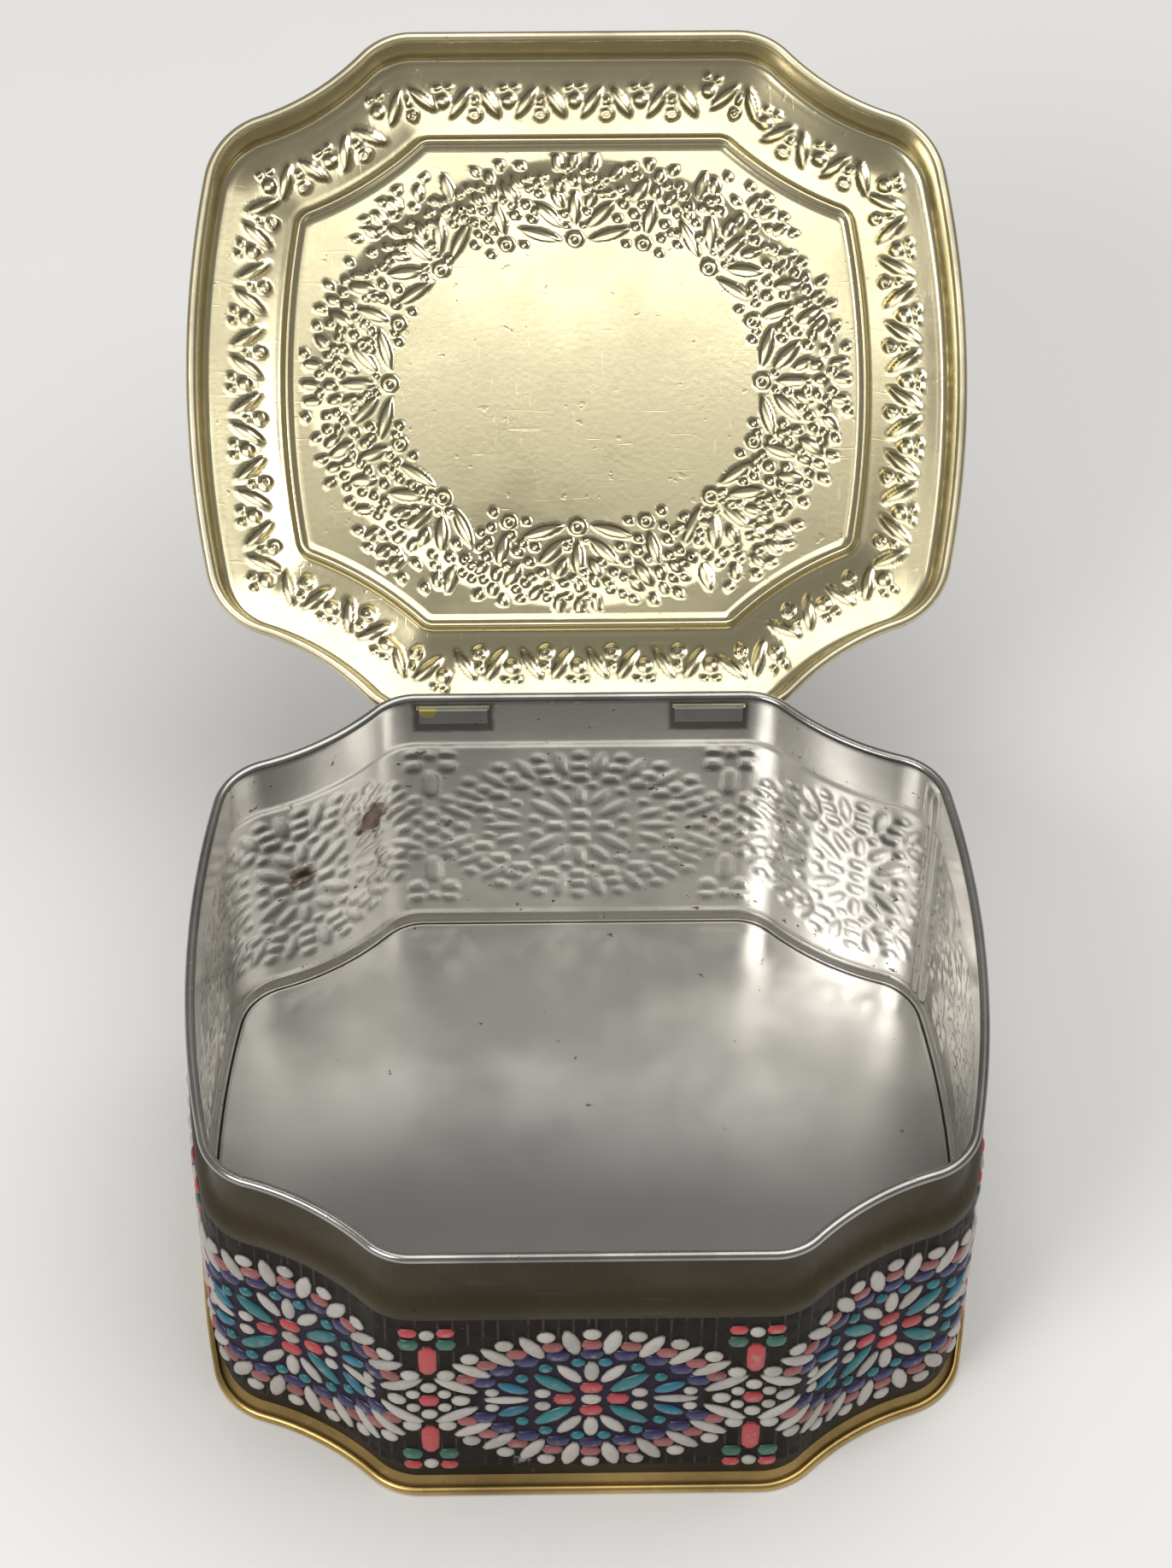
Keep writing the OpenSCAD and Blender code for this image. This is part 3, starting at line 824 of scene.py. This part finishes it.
def strap_shadow_and_rust(tree, shader, place, shade):
    """Painted shadow round the straps' legs, and two rust patches on the left of the wall's inside."""
    edge_noise = noise(tree, place, 380.0, 4.0, 0.6)
    # Painted shadow: a dark ragged band just outside each strap's leg on the back wall, where the strap shades
    # it.
    gap = ragged(tree, box_distance(tree, place, STRAP_SHADOW_MIDDLE, STRAP_SHADOW_HALF), edge_noise, 0.0012)
    at_back = mapped(tree, axis(tree, place, "Y"), 0.055, 0.057)
    ring = times(tree, mapped(tree, gap, 0.0002, 0.0013, 1.0, 0.0), at_back)
    overlay(tree, shader, times(tree, ring, 0.75), shade("tinplate", 0.1))
    for spot, size in RUST_SPOTS:
        away = ragged(tree, spot_distance(tree, place, spot), edge_noise, 0.007)
        overlay(tree, shader, mapped(tree, away, size * 0.8 * MM, size * 1.4 * MM, 0.85, 0.0), shade("rust"))


def paint_fleck(tree, shader, place, shade):
    """A fleck of paint on the left strap."""
    away = ragged(tree, spot_distance(tree, place, PAINT_SPOT), noise(tree, place, 600.0), 0.001)
    fleck = mapped(tree, away, (PAINT_R - 0.1) * MM, (PAINT_R + 0.1) * MM, 1.0, 0.0)
    overlay(tree, shader, fleck, shade("paint"))


def grey_floor(tree, shader, place, shade):
    """The base plate inside: grey with rust specks, a painted shadow of the front wall over its front part,
    grimy at the wall.
    """
    height = axis(tree, place, "Z")
    cloud = noise(tree, place, 26.0, 3.0, 0.55, offset=(0.2, 0.4, 0.0))
    grey = mixed(tree, mapped(tree, cloud, 0.36, 0.66), shade("tinplate", 0.66), shade("tinplate", 1.1))
    specks = mapped(tree, noise(tree, place, 260.0, 3.0, 0.6), 0.70, 0.75)
    patches = mapped(tree, noise(tree, place, 60.0, 6.0, 0.75, offset=(0.7, 0.2, 0.3)), 0.69, 0.75)
    grey = mixed(tree, computed(tree, "MAXIMUM", specks, patches), grey, shade("rust"))
    # Painted shadow of the front wall: the front part of the floor is darkened.
    front = mapped(tree, axis(tree, place, "Y"), -0.012, 0.054, 1.0, 0.0)
    grey = mixed(tree, front, grey, shade("tinplate", 0.22))
    corner = mapped(tree, height, 0.0073, 0.00764, 0.85, 0.0)
    grey = mixed(tree, corner, grey, shade("rust", 0.4))
    overlay(tree, shader, mapped(tree, height, 0.0028, 0.0031), grey)


def printed_ground(tree, shader, place, shade):
    """Dark print between the beads, with a tinted field in each rosette, faint threads and rubbed spots."""
    fold = attribute(tree, "fold")
    grain = noise(tree, place, 260.0, 4.0, 0.6)
    threads = mapped(tree, computed(tree, "SINE", times(tree, fold, 2 * math.pi * THREADS)), 0.75, 1.0)
    threads = times(tree, threads, mapped(tree, grain, 0.4, 0.6, 0.0, 0.6))
    base = mixed(tree, threads, shade("ground"), tuple(v * 4 + 0.03 for v in shade("ground")))
    across = times(tree, fold, RIM_LINE.total / ROSETTES / 2 / FIELD_HALF_W)
    up = minus(tree, axis(tree, place, "Z"), BAND_MID * MM)
    up = computed(tree, "DIVIDE", up, FIELD_HALF_H * MM)
    reach = plus(tree, computed(tree, "POWER", across, 2.0), computed(tree, "POWER", up, 2.0))
    reach = plus(tree, reach, times(tree, grain, 0.2))
    base = mixed(tree, mapped(tree, reach, 1.0, 1.14, 1.0, 0.0), base, shade("field"))
    worn = mapped(tree, noise(tree, place, 130.0, 6.0, 0.7), 0.68, 0.76, 0.0, 0.8)
    base = mixed(tree, worn, base, shade("tinplate", 0.4))
    tree.links.new(base, shader.inputs["Base Color"])
    tree.links.new(mapped(tree, grain, 0.3, 0.7, 0.4, 0.6), shader.inputs["Roughness"])
    shader.inputs["Specular IOR Level"].default_value = 0.08
    bumped(tree, shader, grain, 0.3)


def bead_print(tree, shader, place, shade, colour):
    """Printed enamel on a pressed bead, with painted shade darkening its foot, rubbed on its crown."""
    crown = attribute(tree, "crown")
    cloud = noise(tree, place, 300.0, 4.0, 0.65)
    tone = plus(tree, times(tree, attribute(tree, "tint"), 0.5), times(tree, cloud, 0.6))
    base = mixed(tree, mapped(tree, tone, 0.05, 0.65), shade(colour, 0.62), shade(colour))
    # Painted shade: the bead's foot darkens toward the ground's colour, where it meets the ground.
    base = mixed(tree, mapped(tree, crown, 0.0, 0.5, 0.95, 0.0), base, shade("ground"))
    scuffs = mapped(tree, noise(tree, place, 520.0, 3.0, 0.6), 0.50, 0.64)
    rubbed = times(tree, mapped(tree, crown, 0.75, 1.0), scuffs)
    base = mixed(tree, times(tree, rubbed, 0.5), base, shade("rubbed"))
    tree.links.new(base, shader.inputs["Base Color"])
    tree.links.new(mapped(tree, cloud, 0.3, 0.7, 0.32, 0.5), shader.inputs["Roughness"])
    shader.inputs["Coat Weight"].default_value = 0.15
    shader.inputs["Coat Roughness"].default_value = 0.25
    bumped(tree, shader, cloud, 0.25)


# What is laid over a worn metal: rust, a paint fleck, a dark seam, and painted shadows on the wall and the
# floor
DRESSING = {"inside": strap_shadow_and_rust, "strap": paint_fleck, "base": grey_floor}


def finish(key):
    """The material of that name, made once."""
    name = "tin " + key
    if name in bpy.data.materials:
        return bpy.data.materials[name]
    colours = bpy.context.scene.tin_colours

    def shade(colour, share=1.0):
        return scaled(getattr(colours, colour), share)

    material, tree, shader, place = start_material(name)
    if key in WORN:
        worn_metal(tree, shader, place, shade, **WORN[key])
    elif key == "ground":
        printed_ground(tree, shader, place, shade)
    else:
        bead_print(tree, shader, place, shade, key)
    if key in DRESSING:
        DRESSING[key](tree, shader, place, shade)
    return material


# Pieces


def closed_to_open():
    """Turns what is modelled closed, about the hinge wire."""
    turn = Matrix.Rotation(math.radians(-LID_OPEN), 4, "X")
    wire = Matrix.Translation((0.0, WIRE_Y * MM, WIRE_Z * MM))
    return wire @ turn @ Matrix.Translation((0.0, -WIRE_Y * MM, 0.0))


def body_profile():
    """Rows of the body's closed section as (out, height, material), and which rows hold windows and beads."""
    inside, edge, neck, ground, waist, stripe = range(6)
    rows = [(NECK_IN, z, inside) for z in (LEDGE_IN_TOP, *NECK_ROWS, SLOT_LOW, SLOT_TOP)]
    slot_in = rows.index((NECK_IN, SLOT_LOW, inside))
    middle = (NECK_IN + ROLL_R, BODY_H - ROLL_R)
    rows += [(u, z, edge) for u, z in arc_rows(*middle, ROLL_R, ROLL_R, 180, 20, 7)]
    rows += [(u, z, neck) for u, z in arc_rows(*middle, ROLL_R, ROLL_R, -6, -110, 4)]
    slot_out = len(rows)
    rows += [(NECK_OUT, z, neck) for z in (SLOT_TOP, SLOT_LOW, *reversed(NECK_ROWS))]
    rows += [(bend(NECK_OUT, WALL_OUT, t), LEDGE_TOP - LEDGE_FALL * t, neck) for t in np.linspace(0, 1, 8)]
    rows += [(WALL_OUT, z, ground) for z in WALL_ROWS_OUT]
    for t in np.linspace(0, 1, 7):
        material = ground if t < 0.3 else waist
        rows.append((bend(WALL_OUT, WAIST_OUT, t), WAIST_Z + WAIST_RISE * (1 - t), material))
    for t in (0.15, 0.3, 0.45, 0.6, 0.72, 0.85, 1.0):
        rows.append((WAIST_OUT + t * t, WAIST_Z - FLARE_DROP * t, stripe if t > 0.55 else waist))
    rows += [(*place, material) for place, material in zip(HEM, (stripe, inside, inside))]
    rows += [(WAIST_IN + t * t, WAIST_Z - FLARE_DROP * t, inside) for t in (0.85, 0.6, 0.3)]
    rows += [(bend(WAIST_IN, WALL_IN, t), WAIST_Z + WAIST_RISE * t, inside) for t in np.linspace(0, 0.9, 5)]
    dense = slice(len(rows), len(rows) + WALL_ROWS)
    rows += [(WALL_IN, z, inside) for z in np.linspace(BAND_LOW, BAND_TOP, WALL_ROWS)]
    for t in np.linspace(0, 0.93, LEDGE_ROWS):
        rows.append((bend(WALL_IN, NECK_IN, t), LEDGE_IN_FOOT + LEDGE_IN_RISE * t, inside))
    return rows, slot_in, slot_out, dense


class TIN_OT_body_shell(bpy.types.Operator):
    """Builds the body: rolled rim, neck, ledge, embossed wall and waist, with a window for each strap."""

    bl_idname = "tin.body_shell"
    bl_label = "Body shell"

    def execute(self, context):
        rows, slot_in, slot_out, dense = body_profile()
        runs = column_runs()
        out = np.array([r[0] for r in rows])[:, None] + np.zeros(COLUMNS)
        z = np.array([r[1] for r in rows], float)[:, None] + np.zeros(COLUMNS)
        relief = np.zeros_like(z)
        dents = [
            (x, y, turn, a * DENT_SHARE, b * DENT_SHARE, *rest) for x, y, turn, a, b, *rest in wall_pattern()]
        along = runs[None, :] + np.zeros_like(z[dense])
        relief[dense] = bead_heights(along, z[dense] - DENT_RISE, dents, RIM_LINE.total)
        seam = (runs > SEAM[0]) & (runs < SEAM[1])
        relief[:, seam] = 0.0
        out = out + context.scene.tin_sizes.wall_dent / MM * relief
        lap = np.where(np.arange(seam.sum()) == seam.sum() // 2, SEAM_CREASE, SEAM_LAP)
        for lapped in (slice(dense.start, dense.stop + LEDGE_ROWS), slice(0, slot_in)):
            out[lapped, seam] -= lap
        x, y, nx, ny = RIM_LINE.at_run(runs)
        places = np.stack([x + nx * out, y + ny * out, z], axis=-1)
        bm, cell = swept_grid(places, [r[2] for r in rows], relief, folds=ROSETTES)
        for window in window_columns(runs):
            for row in (slot_in, slot_out):
                cut_cells(bm, cell, (row, row + 1), window)
        for side in (1, -1):
            bmesh.ops.bridge_loops(bm, edges=open_edges(bm, side))
        bmesh.ops.recalc_face_normals(bm, faces=bm.faces)
        finishes = ("inside", "rim", "neck", "ground", "waist", "stripe")
        piece = new_piece("body_shell", bm, "tin_body", finishes)
        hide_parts("body_wall")
        return {"FINISHED"}


def dome_template(form):
    """A small pressed dome on the unit circle, or a ring for the ring beads."""
    bm = bmesh.new()
    if form == RING:
        upright = Matrix.Translation((RING_R, 0.0, 0.0)) @ Matrix.Rotation(math.radians(90), 4, "X")
        ring = bmesh.ops.create_circle(bm, segments=6, radius=1.0 - RING_R, matrix=upright)
        bmesh.ops.spin(
            bm, geom=ring["verts"] + bm.edges[:], cent=(0, 0, 0), axis=(0, 0, 1), angle=2 * math.pi, steps=14,
            use_merge=True)
        for vert in bm.verts:
            vert.co.z = max(vert.co.z * RING_STRETCH, 0.0)
    else:
        bmesh.ops.create_uvsphere(bm, u_segments=10, v_segments=6, radius=1.0)
        bmesh.ops.bisect_plane(
            bm, geom=bm.verts[:] + bm.edges[:] + bm.faces[:], plane_co=(0, 0, 0), plane_no=(0, 0, 1),
            clear_inner=True)
        cap = bmesh.ops.holes_fill(bm, edges=[e for e in bm.edges if e.is_boundary], sides=0)["faces"]
        bmesh.ops.recalc_face_normals(bm, faces=bm.faces)
        bmesh.ops.poke(bm, faces=cap, offset=-0.45)
    bmesh.ops.recalc_face_normals(bm, faces=bm.faces)
    mesh = bpy.data.meshes.new("bead template")
    bm.to_mesh(mesh)
    bm.free()
    return mesh


def bead_field(beads, lay, height):
    """A bmesh with one dome for each bead; lay turns (across, up, out) into places."""
    plain, ring = dome_template(OVAL), dome_template(RING)
    bm = bmesh.new()
    spots, crowns, tints, finishes = [], [], [], []
    rng = np.random.default_rng(7)
    for bx, by, turn, a, b, form, colour in beads:
        template = ring if form == RING else plain
        unit = np.array([v.co[:] for v in template.vertices])
        bm.from_mesh(template)
        px, py, up = unit.T
        if form == LEAF:
            py = py * (1 - LEAF_TAPER * px**2)
        elif form == BLOCK:
            swell = np.maximum(np.hypot(px, py), TINY) / np.maximum((px**4 + py**4) ** 0.25, TINY)
            px, py = px * swell, py * swell
        c, s = math.cos(math.radians(turn)), math.sin(math.radians(turn))
        across = bx + a * px * c - b * py * s
        along = by + a * px * s + b * py * c
        tall = height * (BLOCK_SHARE if form == BLOCK else 1.0) * min(1.0, 0.55 + 0.3 * b)
        spots.append(np.stack(lay(across, along, up * tall - BEAD_SINK), axis=-1))
        crowns.append(np.clip(up, 0, 1))
        tints.append(np.full(len(up), rng.random()))
        finishes += [colour] * len(template.polygons)
    crown = bm.verts.layers.float.new("crown")
    tint = bm.verts.layers.float.new("tint")
    values = (np.concatenate(part).tolist() for part in (spots, crowns, tints))
    for vert, spot, c, t in zip(bm.verts, *values):
        vert.co = [v * MM for v in spot]
        vert[crown] = c
        vert[tint] = t
    for face, colour in zip(bm.faces, finishes):
        face.material_index = colour
    bpy.data.meshes.remove(plain)
    bpy.data.meshes.remove(ring)
    return bm


class TIN_OT_wall_beads(bpy.types.Operator):
    """Lays the printed beads on the outside of the wall."""

    bl_idname = "tin.wall_beads"
    bl_label = "Wall beads"

    def execute(self, context):
        def lay(across, up, out):
            x, y, nx, ny = RIM_LINE.at_run(across)
            reach = WALL_OUT + out
            return x + nx * reach, y + ny * reach, up

        bm = bead_field(wall_pattern(), lay, context.scene.tin_sizes.bead_height / MM)
        new_piece("wall_beads", bm, "tin_body", BEAD_COLOURS, 60)
        return {"FINISHED"}


def oval_distance(x, y):
    """Distance outside the four-arc oval of the panel."""
    side_y = -OVAL_END_X * math.tan(OVAL_TURN)
    side_r = OVAL_END_R + OVAL_END_X / math.cos(OVAL_TURN)
    ax, ay = np.abs(x), np.abs(y)
    at_end = (np.arctan2(ay, ax - OVAL_END_X) < OVAL_TURN) & (ax > OVAL_END_X)
    return np.where(at_end, np.hypot(ax - OVAL_END_X, ay) - OVAL_END_R, np.hypot(ax, ay - side_y) - side_r)


def panel_level(x, y):
    """Height of the sheet's middle over the panel: flat, and higher inside the oval."""
    low, high = OVAL_SLOPE
    share = np.clip((oval_distance(x, y) - low) / (high - low), 0, 1)
    return LID_CREST + bend(OVAL_RISE, 0.0, share)


def border_ends(seg, frac):
    """The border's two edges at places of the outline: x, y at the shoulder, then x, y at the groove."""
    return (*RIM_LINE.place(seg, frac, SHOULDER_OUT)[:2], *GROOVE_LINE.place(seg, frac, GROOVE_HALF)[:2])


def border_cushion(x, y):
    """How far the border between the shoulder and the ridge swells outward at many places."""
    ax, ay, bx, by = border_ends(*RIM_LINE.find(column_runs()))
    swell = np.zeros(len(x))
    for start in range(0, len(x), BATCH):
        part = slice(start, start + BATCH)
        px, py = x[part], y[part]
        near = np.argmin(np.hypot(px[:, None] - (ax + bx) / 2, py[:, None] - (ay + by) / 2), axis=1)
        dx, dy = (bx - ax)[near], (by - ay)[near]
        share = ((px - ax[near]) * dx + (py - ay[near]) * dy) / (dx**2 + dy**2)
        swell[part] = CUSHION * np.sin(np.pi * np.clip(share, 0, 1))
    return swell


def ridge_drop(offset, height):
    """How far the groove goes down at a distance from its middle line: a narrow crease with soft feet."""
    share = min(abs(offset) / GROOVE_HALF, 1.0)
    crease = math.exp(-((share / CREASE_WIDTH) ** 2))
    return height * (bend(1 - CREASE_SHARE, 0.0, share) + CREASE_SHARE * crease)


def lid_rows(ridge):
    """Rows of the lid's closed section as (x, y, z, material), its embossed rows, and the rows of a window."""
    inside, edge, neck, ground = range(4)
    seg, frac = RIM_LINE.find(column_runs())
    ax, ay, bx, by = border_ends(seg, frac)
    low, high = LID_CREST + LID_IN, LID_CREST + LID_OUT
    inner_r, outer_r = SKIRT_IN - SHOULDER_OUT, SKIRT_OUT - SHOULDER_OUT
    rows = []

    def groove_row(offset, z, material):
        x, y, _, _ = GROOVE_LINE.place(seg, frac, offset)
        rows.append((x, y, z - ridge_drop(offset, ridge), material))

    def rim_rows(places, material):
        for out, z in places:
            x, y, _, _ = RIM_LINE.place(seg, frac, out)
            rows.append((x, y, z, material))

    def border_row(share, z, material):
        swell = CUSHION * math.sin(math.pi * share)
        rows.append((ax + (bx - ax) * share, ay + (by - ay) * share, z + swell, material))

    for offset in np.linspace(-GROOVE_HALF, GROOVE_HALF, 13):
        groove_row(offset, low, inside)
    border_start = len(rows)
    for share in np.linspace(1, 0, 24)[1:-1]:
        border_row(share, low, inside)
    embossed = slice(border_start, len(rows) + 1)
    rim_rows(arc_rows(SHOULDER_OUT, SHOULDER_Z, inner_r, low - SHOULDER_Z, 90, 0, 6), inside)
    rim_rows([(SKIRT_IN, SKIRT_TOP)], inside)
    notch_in = len(rows)
    rim_rows([(SKIRT_IN, NOTCH_TOP)], inside)
    rim_rows(arc_rows(SKIRT_IN + LID_ROLL_R, 0.0, LID_ROLL_R, LID_ROLL_R, 180, 470, 12), edge)
    rim_rows([(SKIRT_OUT, LID_ROLL_R)], neck)
    notch_out = len(rows)
    rim_rows([(SKIRT_OUT, z) for z in SKIRT_ROWS], neck)
    rim_rows(arc_rows(SHOULDER_OUT, SHOULDER_Z, outer_r, high - SHOULDER_Z, 0, 90, 6), neck)
    for share in np.linspace(0, 1, 9)[1:-1]:
        border_row(share, high, ground)
    for offset in np.linspace(GROOVE_HALF, -GROOVE_HALF, 9):
        groove_row(offset, high, neck)
    return rows, embossed, (notch_in, notch_out)


class TIN_OT_lid_shell(bpy.types.Operator):
    """Builds the lid's rolled edge, skirt, shoulder, embossed border and the ridge round the panel."""

    bl_idname = "tin.lid_shell"
    bl_label = "Lid shell"

    def execute(self, context):
        sizes = context.scene.tin_sizes
        rows, embossed, notch = lid_rows(sizes.ridge_height / MM)
        places = np.zeros((len(rows), COLUMNS, 3))
        for r, (x, y, z, _) in enumerate(rows):
            places[r, :, 0], places[r, :, 1], places[r, :, 2] = x, y, z
        relief = np.zeros((len(rows), COLUMNS))
        pattern = lid_pattern(sizes.garland_unit / MM)
        relief[embossed] = bead_heights(places[embossed, :, 0], places[embossed, :, 1], pattern)
        places[:, :, 2] += relief * sizes.lid_dent / MM
        bm, cell = swept_grid(places, [r[3] for r in rows], relief)
        runs = column_runs()
        for first, last in window_columns(runs):
            middle = np.array(0.5 * (runs[first] + runs[last]))
            cut_cells(bm, cell, notch, (first, last))
            side = 1 if RIM_LINE.at_run(middle)[0] > 0 else -1
            edges = open_edges(bm, side)
            lips = [e for e in edges if all(abs(v.co.z - NOTCH_TOP * MM) < TINY for v in e.verts)]
            bmesh.ops.bridge_loops(bm, edges=lips)
            bmesh.ops.holes_fill(bm, edges=[e for e in bm.edges if e.is_boundary], sides=0)
        bmesh.ops.transform(bm, matrix=closed_to_open(), verts=bm.verts)
        bmesh.ops.recalc_face_normals(bm, faces=bm.faces)
        piece = new_piece("lid_shell", bm, "tin_lid", ("lid inside", "edge", "neck", "ground"))
        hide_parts("lid")
        return {"FINISHED"}


class TIN_OT_lid_panel(bpy.types.Operator):
    """Builds the embossed panel inside the lid's ridge."""

    bl_idname = "tin.lid_panel"
    bl_label = "Lid panel"

    def execute(self, context):
        sizes = context.scene.tin_sizes
        inside, ground = range(2)
        ex, ey, _, _ = GROOVE_LINE.place(*RIM_LINE.find(column_runs()), -GROOVE_HALF)
        outer = np.concatenate([np.linspace(1.0, 0.80, 15), np.linspace(0.74, 0.012, 7), [0.0]])
        inner = np.concatenate([[0.0], np.linspace(0.014, 0.48, 15), np.linspace(0.488, 1.0, 72)])
        shares = np.concatenate([outer[::-1], inner[::-1]])
        count, top = len(shares), len(outer)
        places = np.zeros((count, COLUMNS, 3))
        places[:, :, 0] = shares[:, None] * ex[None, :]
        places[:, :, 1] = shares[:, None] * ey[None, :]
        level = panel_level(places[:, :, 0], places[:, :, 1])
        relief = np.zeros((count, COLUMNS))
        pattern = lid_pattern(sizes.garland_unit / MM)
        relief[top:] = bead_heights(places[top:, :, 0], places[top:, :, 1], pattern)
        relief[top] = 0.0
        places[:top, :, 2] = level[:top] + LID_OUT
        places[top:, :, 2] = level[top:] + LID_IN + relief[top:] * sizes.lid_dent / MM
        materials = [ground] * (top - 1) + [inside] * (count - top + 1)
        bm, _ = swept_grid(places, materials, relief, closed_rows=False)
        bmesh.ops.transform(bm, matrix=closed_to_open(), verts=bm.verts)
        bmesh.ops.recalc_face_normals(bm, faces=bm.faces)
        new_piece("lid_panel", bm, "tin_lid", ("lid inside", "ground"))
        return {"FINISHED"}


class TIN_OT_lid_beads(bpy.types.Operator):
    """Lays the printed beads on the outside of the lid."""

    bl_idname = "tin.lid_beads"
    bl_label = "Lid beads"

    def execute(self, context):
        sizes = context.scene.tin_sizes

        def lay(x, y, out):
            return x, y, panel_level(x, y) + border_cushion(x, y) + LID_OUT + out

        height = LID_BEAD_SHARE * sizes.bead_height / MM
        bm = bead_field(lid_pattern(sizes.garland_unit / MM), lay, height)
        bmesh.ops.transform(bm, matrix=closed_to_open(), verts=bm.verts)
        new_piece("lid_beads", bm, "tin_lid", BEAD_COLOURS, 60)
        return {"FINISHED"}


class TIN_OT_metal_parts(bpy.types.Operator):
    """Gives the base plate, the hinge wire and the straps their finishes."""

    bl_idname = "tin.metal_parts"
    bl_label = "Base and hinge"

    def execute(self, context):
        for node, key in PART_FINISHES.items():
            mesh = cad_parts[node].data
            mesh.materials.clear()
            mesh.materials.append(finish(key))
        return {"FINISHED"}


def placed(name, data, matrix):
    """Links a lamp or a camera to the scene."""
    thing = bpy.data.objects.new(name, data)
    bpy.context.scene.collection.objects.link(thing)
    thing.matrix_world = matrix
    return thing


def paper_floor(colour):
    """A large plain floor."""
    bm = bmesh.new()
    bmesh.ops.create_grid(bm, x_segments=1, y_segments=1, size=3.0)
    mesh = bpy.data.meshes.new("floor")
    bm.to_mesh(mesh)
    bm.free()
    material, tree, shader, place = start_material("floor paper")
    tone = mapped(tree, noise(tree, place, 6.0), 0.3, 0.7)
    tree.links.new(mixed(tree, tone, scaled(colour, 0.985), tuple(colour)), shader.inputs["Base Color"])
    shader.inputs["Roughness"].default_value = 0.9
    mesh.materials.append(material)
    floor = bpy.data.objects.new("floor", mesh)
    bpy.context.scene.collection.objects.link(floor)
    return floor


def studio_world(settings):
    """Even light from all sides, dimmer in mirroring metal and brighter as the picture's backdrop."""
    world = bpy.data.worlds.new("studio")
    world.use_nodes = True
    tree = world.node_tree
    backdrop = tree.nodes["Background"]
    backdrop.inputs["Color"].default_value = (1.0, 0.99, 0.97, 1.0)
    path = tree.nodes.new("ShaderNodeLightPath").outputs
    dimmed = times(tree, path["Is Glossy Ray"], settings.world_level * (1 - settings.mirrored_share))
    seen = times(tree, path["Is Camera Ray"], settings.seen_level - settings.world_level)
    level = plus(tree, minus(tree, settings.world_level, dimmed), seen)
    tree.links.new(level, backdrop.inputs["Strength"])
    return world


def camera_matrix():
    """The camera's place and turn."""
    yaw, pitch, roll = CAMERA_YAW, CAMERA_PITCH, CAMERA_ROLL
    ahead = np.array([math.sin(yaw) * math.cos(pitch), math.cos(yaw) * math.cos(pitch), -math.sin(pitch)])
    level = np.array([math.cos(yaw), -math.sin(yaw), 0.0])
    upward = np.cross(level, ahead)
    right = math.cos(roll) * level + math.sin(roll) * upward
    up = -math.sin(roll) * level + math.cos(roll) * upward
    return Matrix([[right[i], up[i], -ahead[i], CAMERA_PLACE[i]] for i in range(3)] + [[0, 0, 0, 1]])


class TIN_OT_stage(bpy.types.Operator):
    """Builds the floor, the soft light and the camera."""

    bl_idname = "tin.stage"
    bl_label = "Stage"

    def execute(self, context):
        scene = context.scene
        settings = scene.tin_stage
        floor = paper_floor(settings.floor_colour)
        scene.world = studio_world(settings)
        for name, (size, place, target) in LAMPS.items():
            lamp = bpy.data.lights.new(name, "AREA")
            lamp.energy = getattr(settings, name + "_power")
            lamp.size = size
            away = Vector(place) - Vector(target)
            placed(name, lamp, Matrix.Translation(place) @ away.to_track_quat("Z", "Y").to_matrix().to_4x4())
        camera = bpy.data.cameras.new("camera")
        camera.sensor_fit = "VERTICAL"
        camera.sensor_height = 36.0
        camera.lens = CAMERA_LENS
        camera.clip_start = 0.01
        scene.camera = placed("camera", camera, camera_matrix())
        scene.view_settings.view_transform = "Standard"
        return {"FINISHED"}


STEPS = ("body_shell", "wall_beads", "lid_shell", "lid_panel", "lid_beads", "metal_parts", "stage")


class TIN_PT_panel(bpy.types.Panel):
    """Lists the steps that build the tin."""

    bl_idname = "TIN_PT_panel"
    bl_label = "Storage tin"
    bl_space_type = "VIEW_3D"
    bl_region_type = "UI"
    bl_category = "Tin"

    def draw(self, context):
        for step in STEPS:
            self.layout.operator("tin." + step)
        for group in (context.scene.tin_sizes, context.scene.tin_colours, context.scene.tin_stage):
            for key in group.__annotations__:
                self.layout.prop(group, key)


CLASSES = (
    TinSizes, TinColours, StageSettings,
    TIN_OT_body_shell, TIN_OT_wall_beads, TIN_OT_lid_shell, TIN_OT_lid_panel, TIN_OT_lid_beads,
    TIN_OT_metal_parts, TIN_OT_stage, TIN_PT_panel,
)


def register():
    for cls in CLASSES:
        bpy.utils.register_class(cls)
    bpy.types.Scene.tin_sizes = PointerProperty(type=TinSizes)
    bpy.types.Scene.tin_colours = PointerProperty(type=TinColours)
    bpy.types.Scene.tin_stage = PointerProperty(type=StageSettings)


def unregister():
    del bpy.types.Scene.tin_stage
    del bpy.types.Scene.tin_colours
    del bpy.types.Scene.tin_sizes
    for cls in reversed(CLASSES):
        bpy.utils.unregister_class(cls)


def main():
    register()
    for step in STEPS:
        getattr(bpy.ops.tin, step)()


if __name__ == "__main__":
    main()
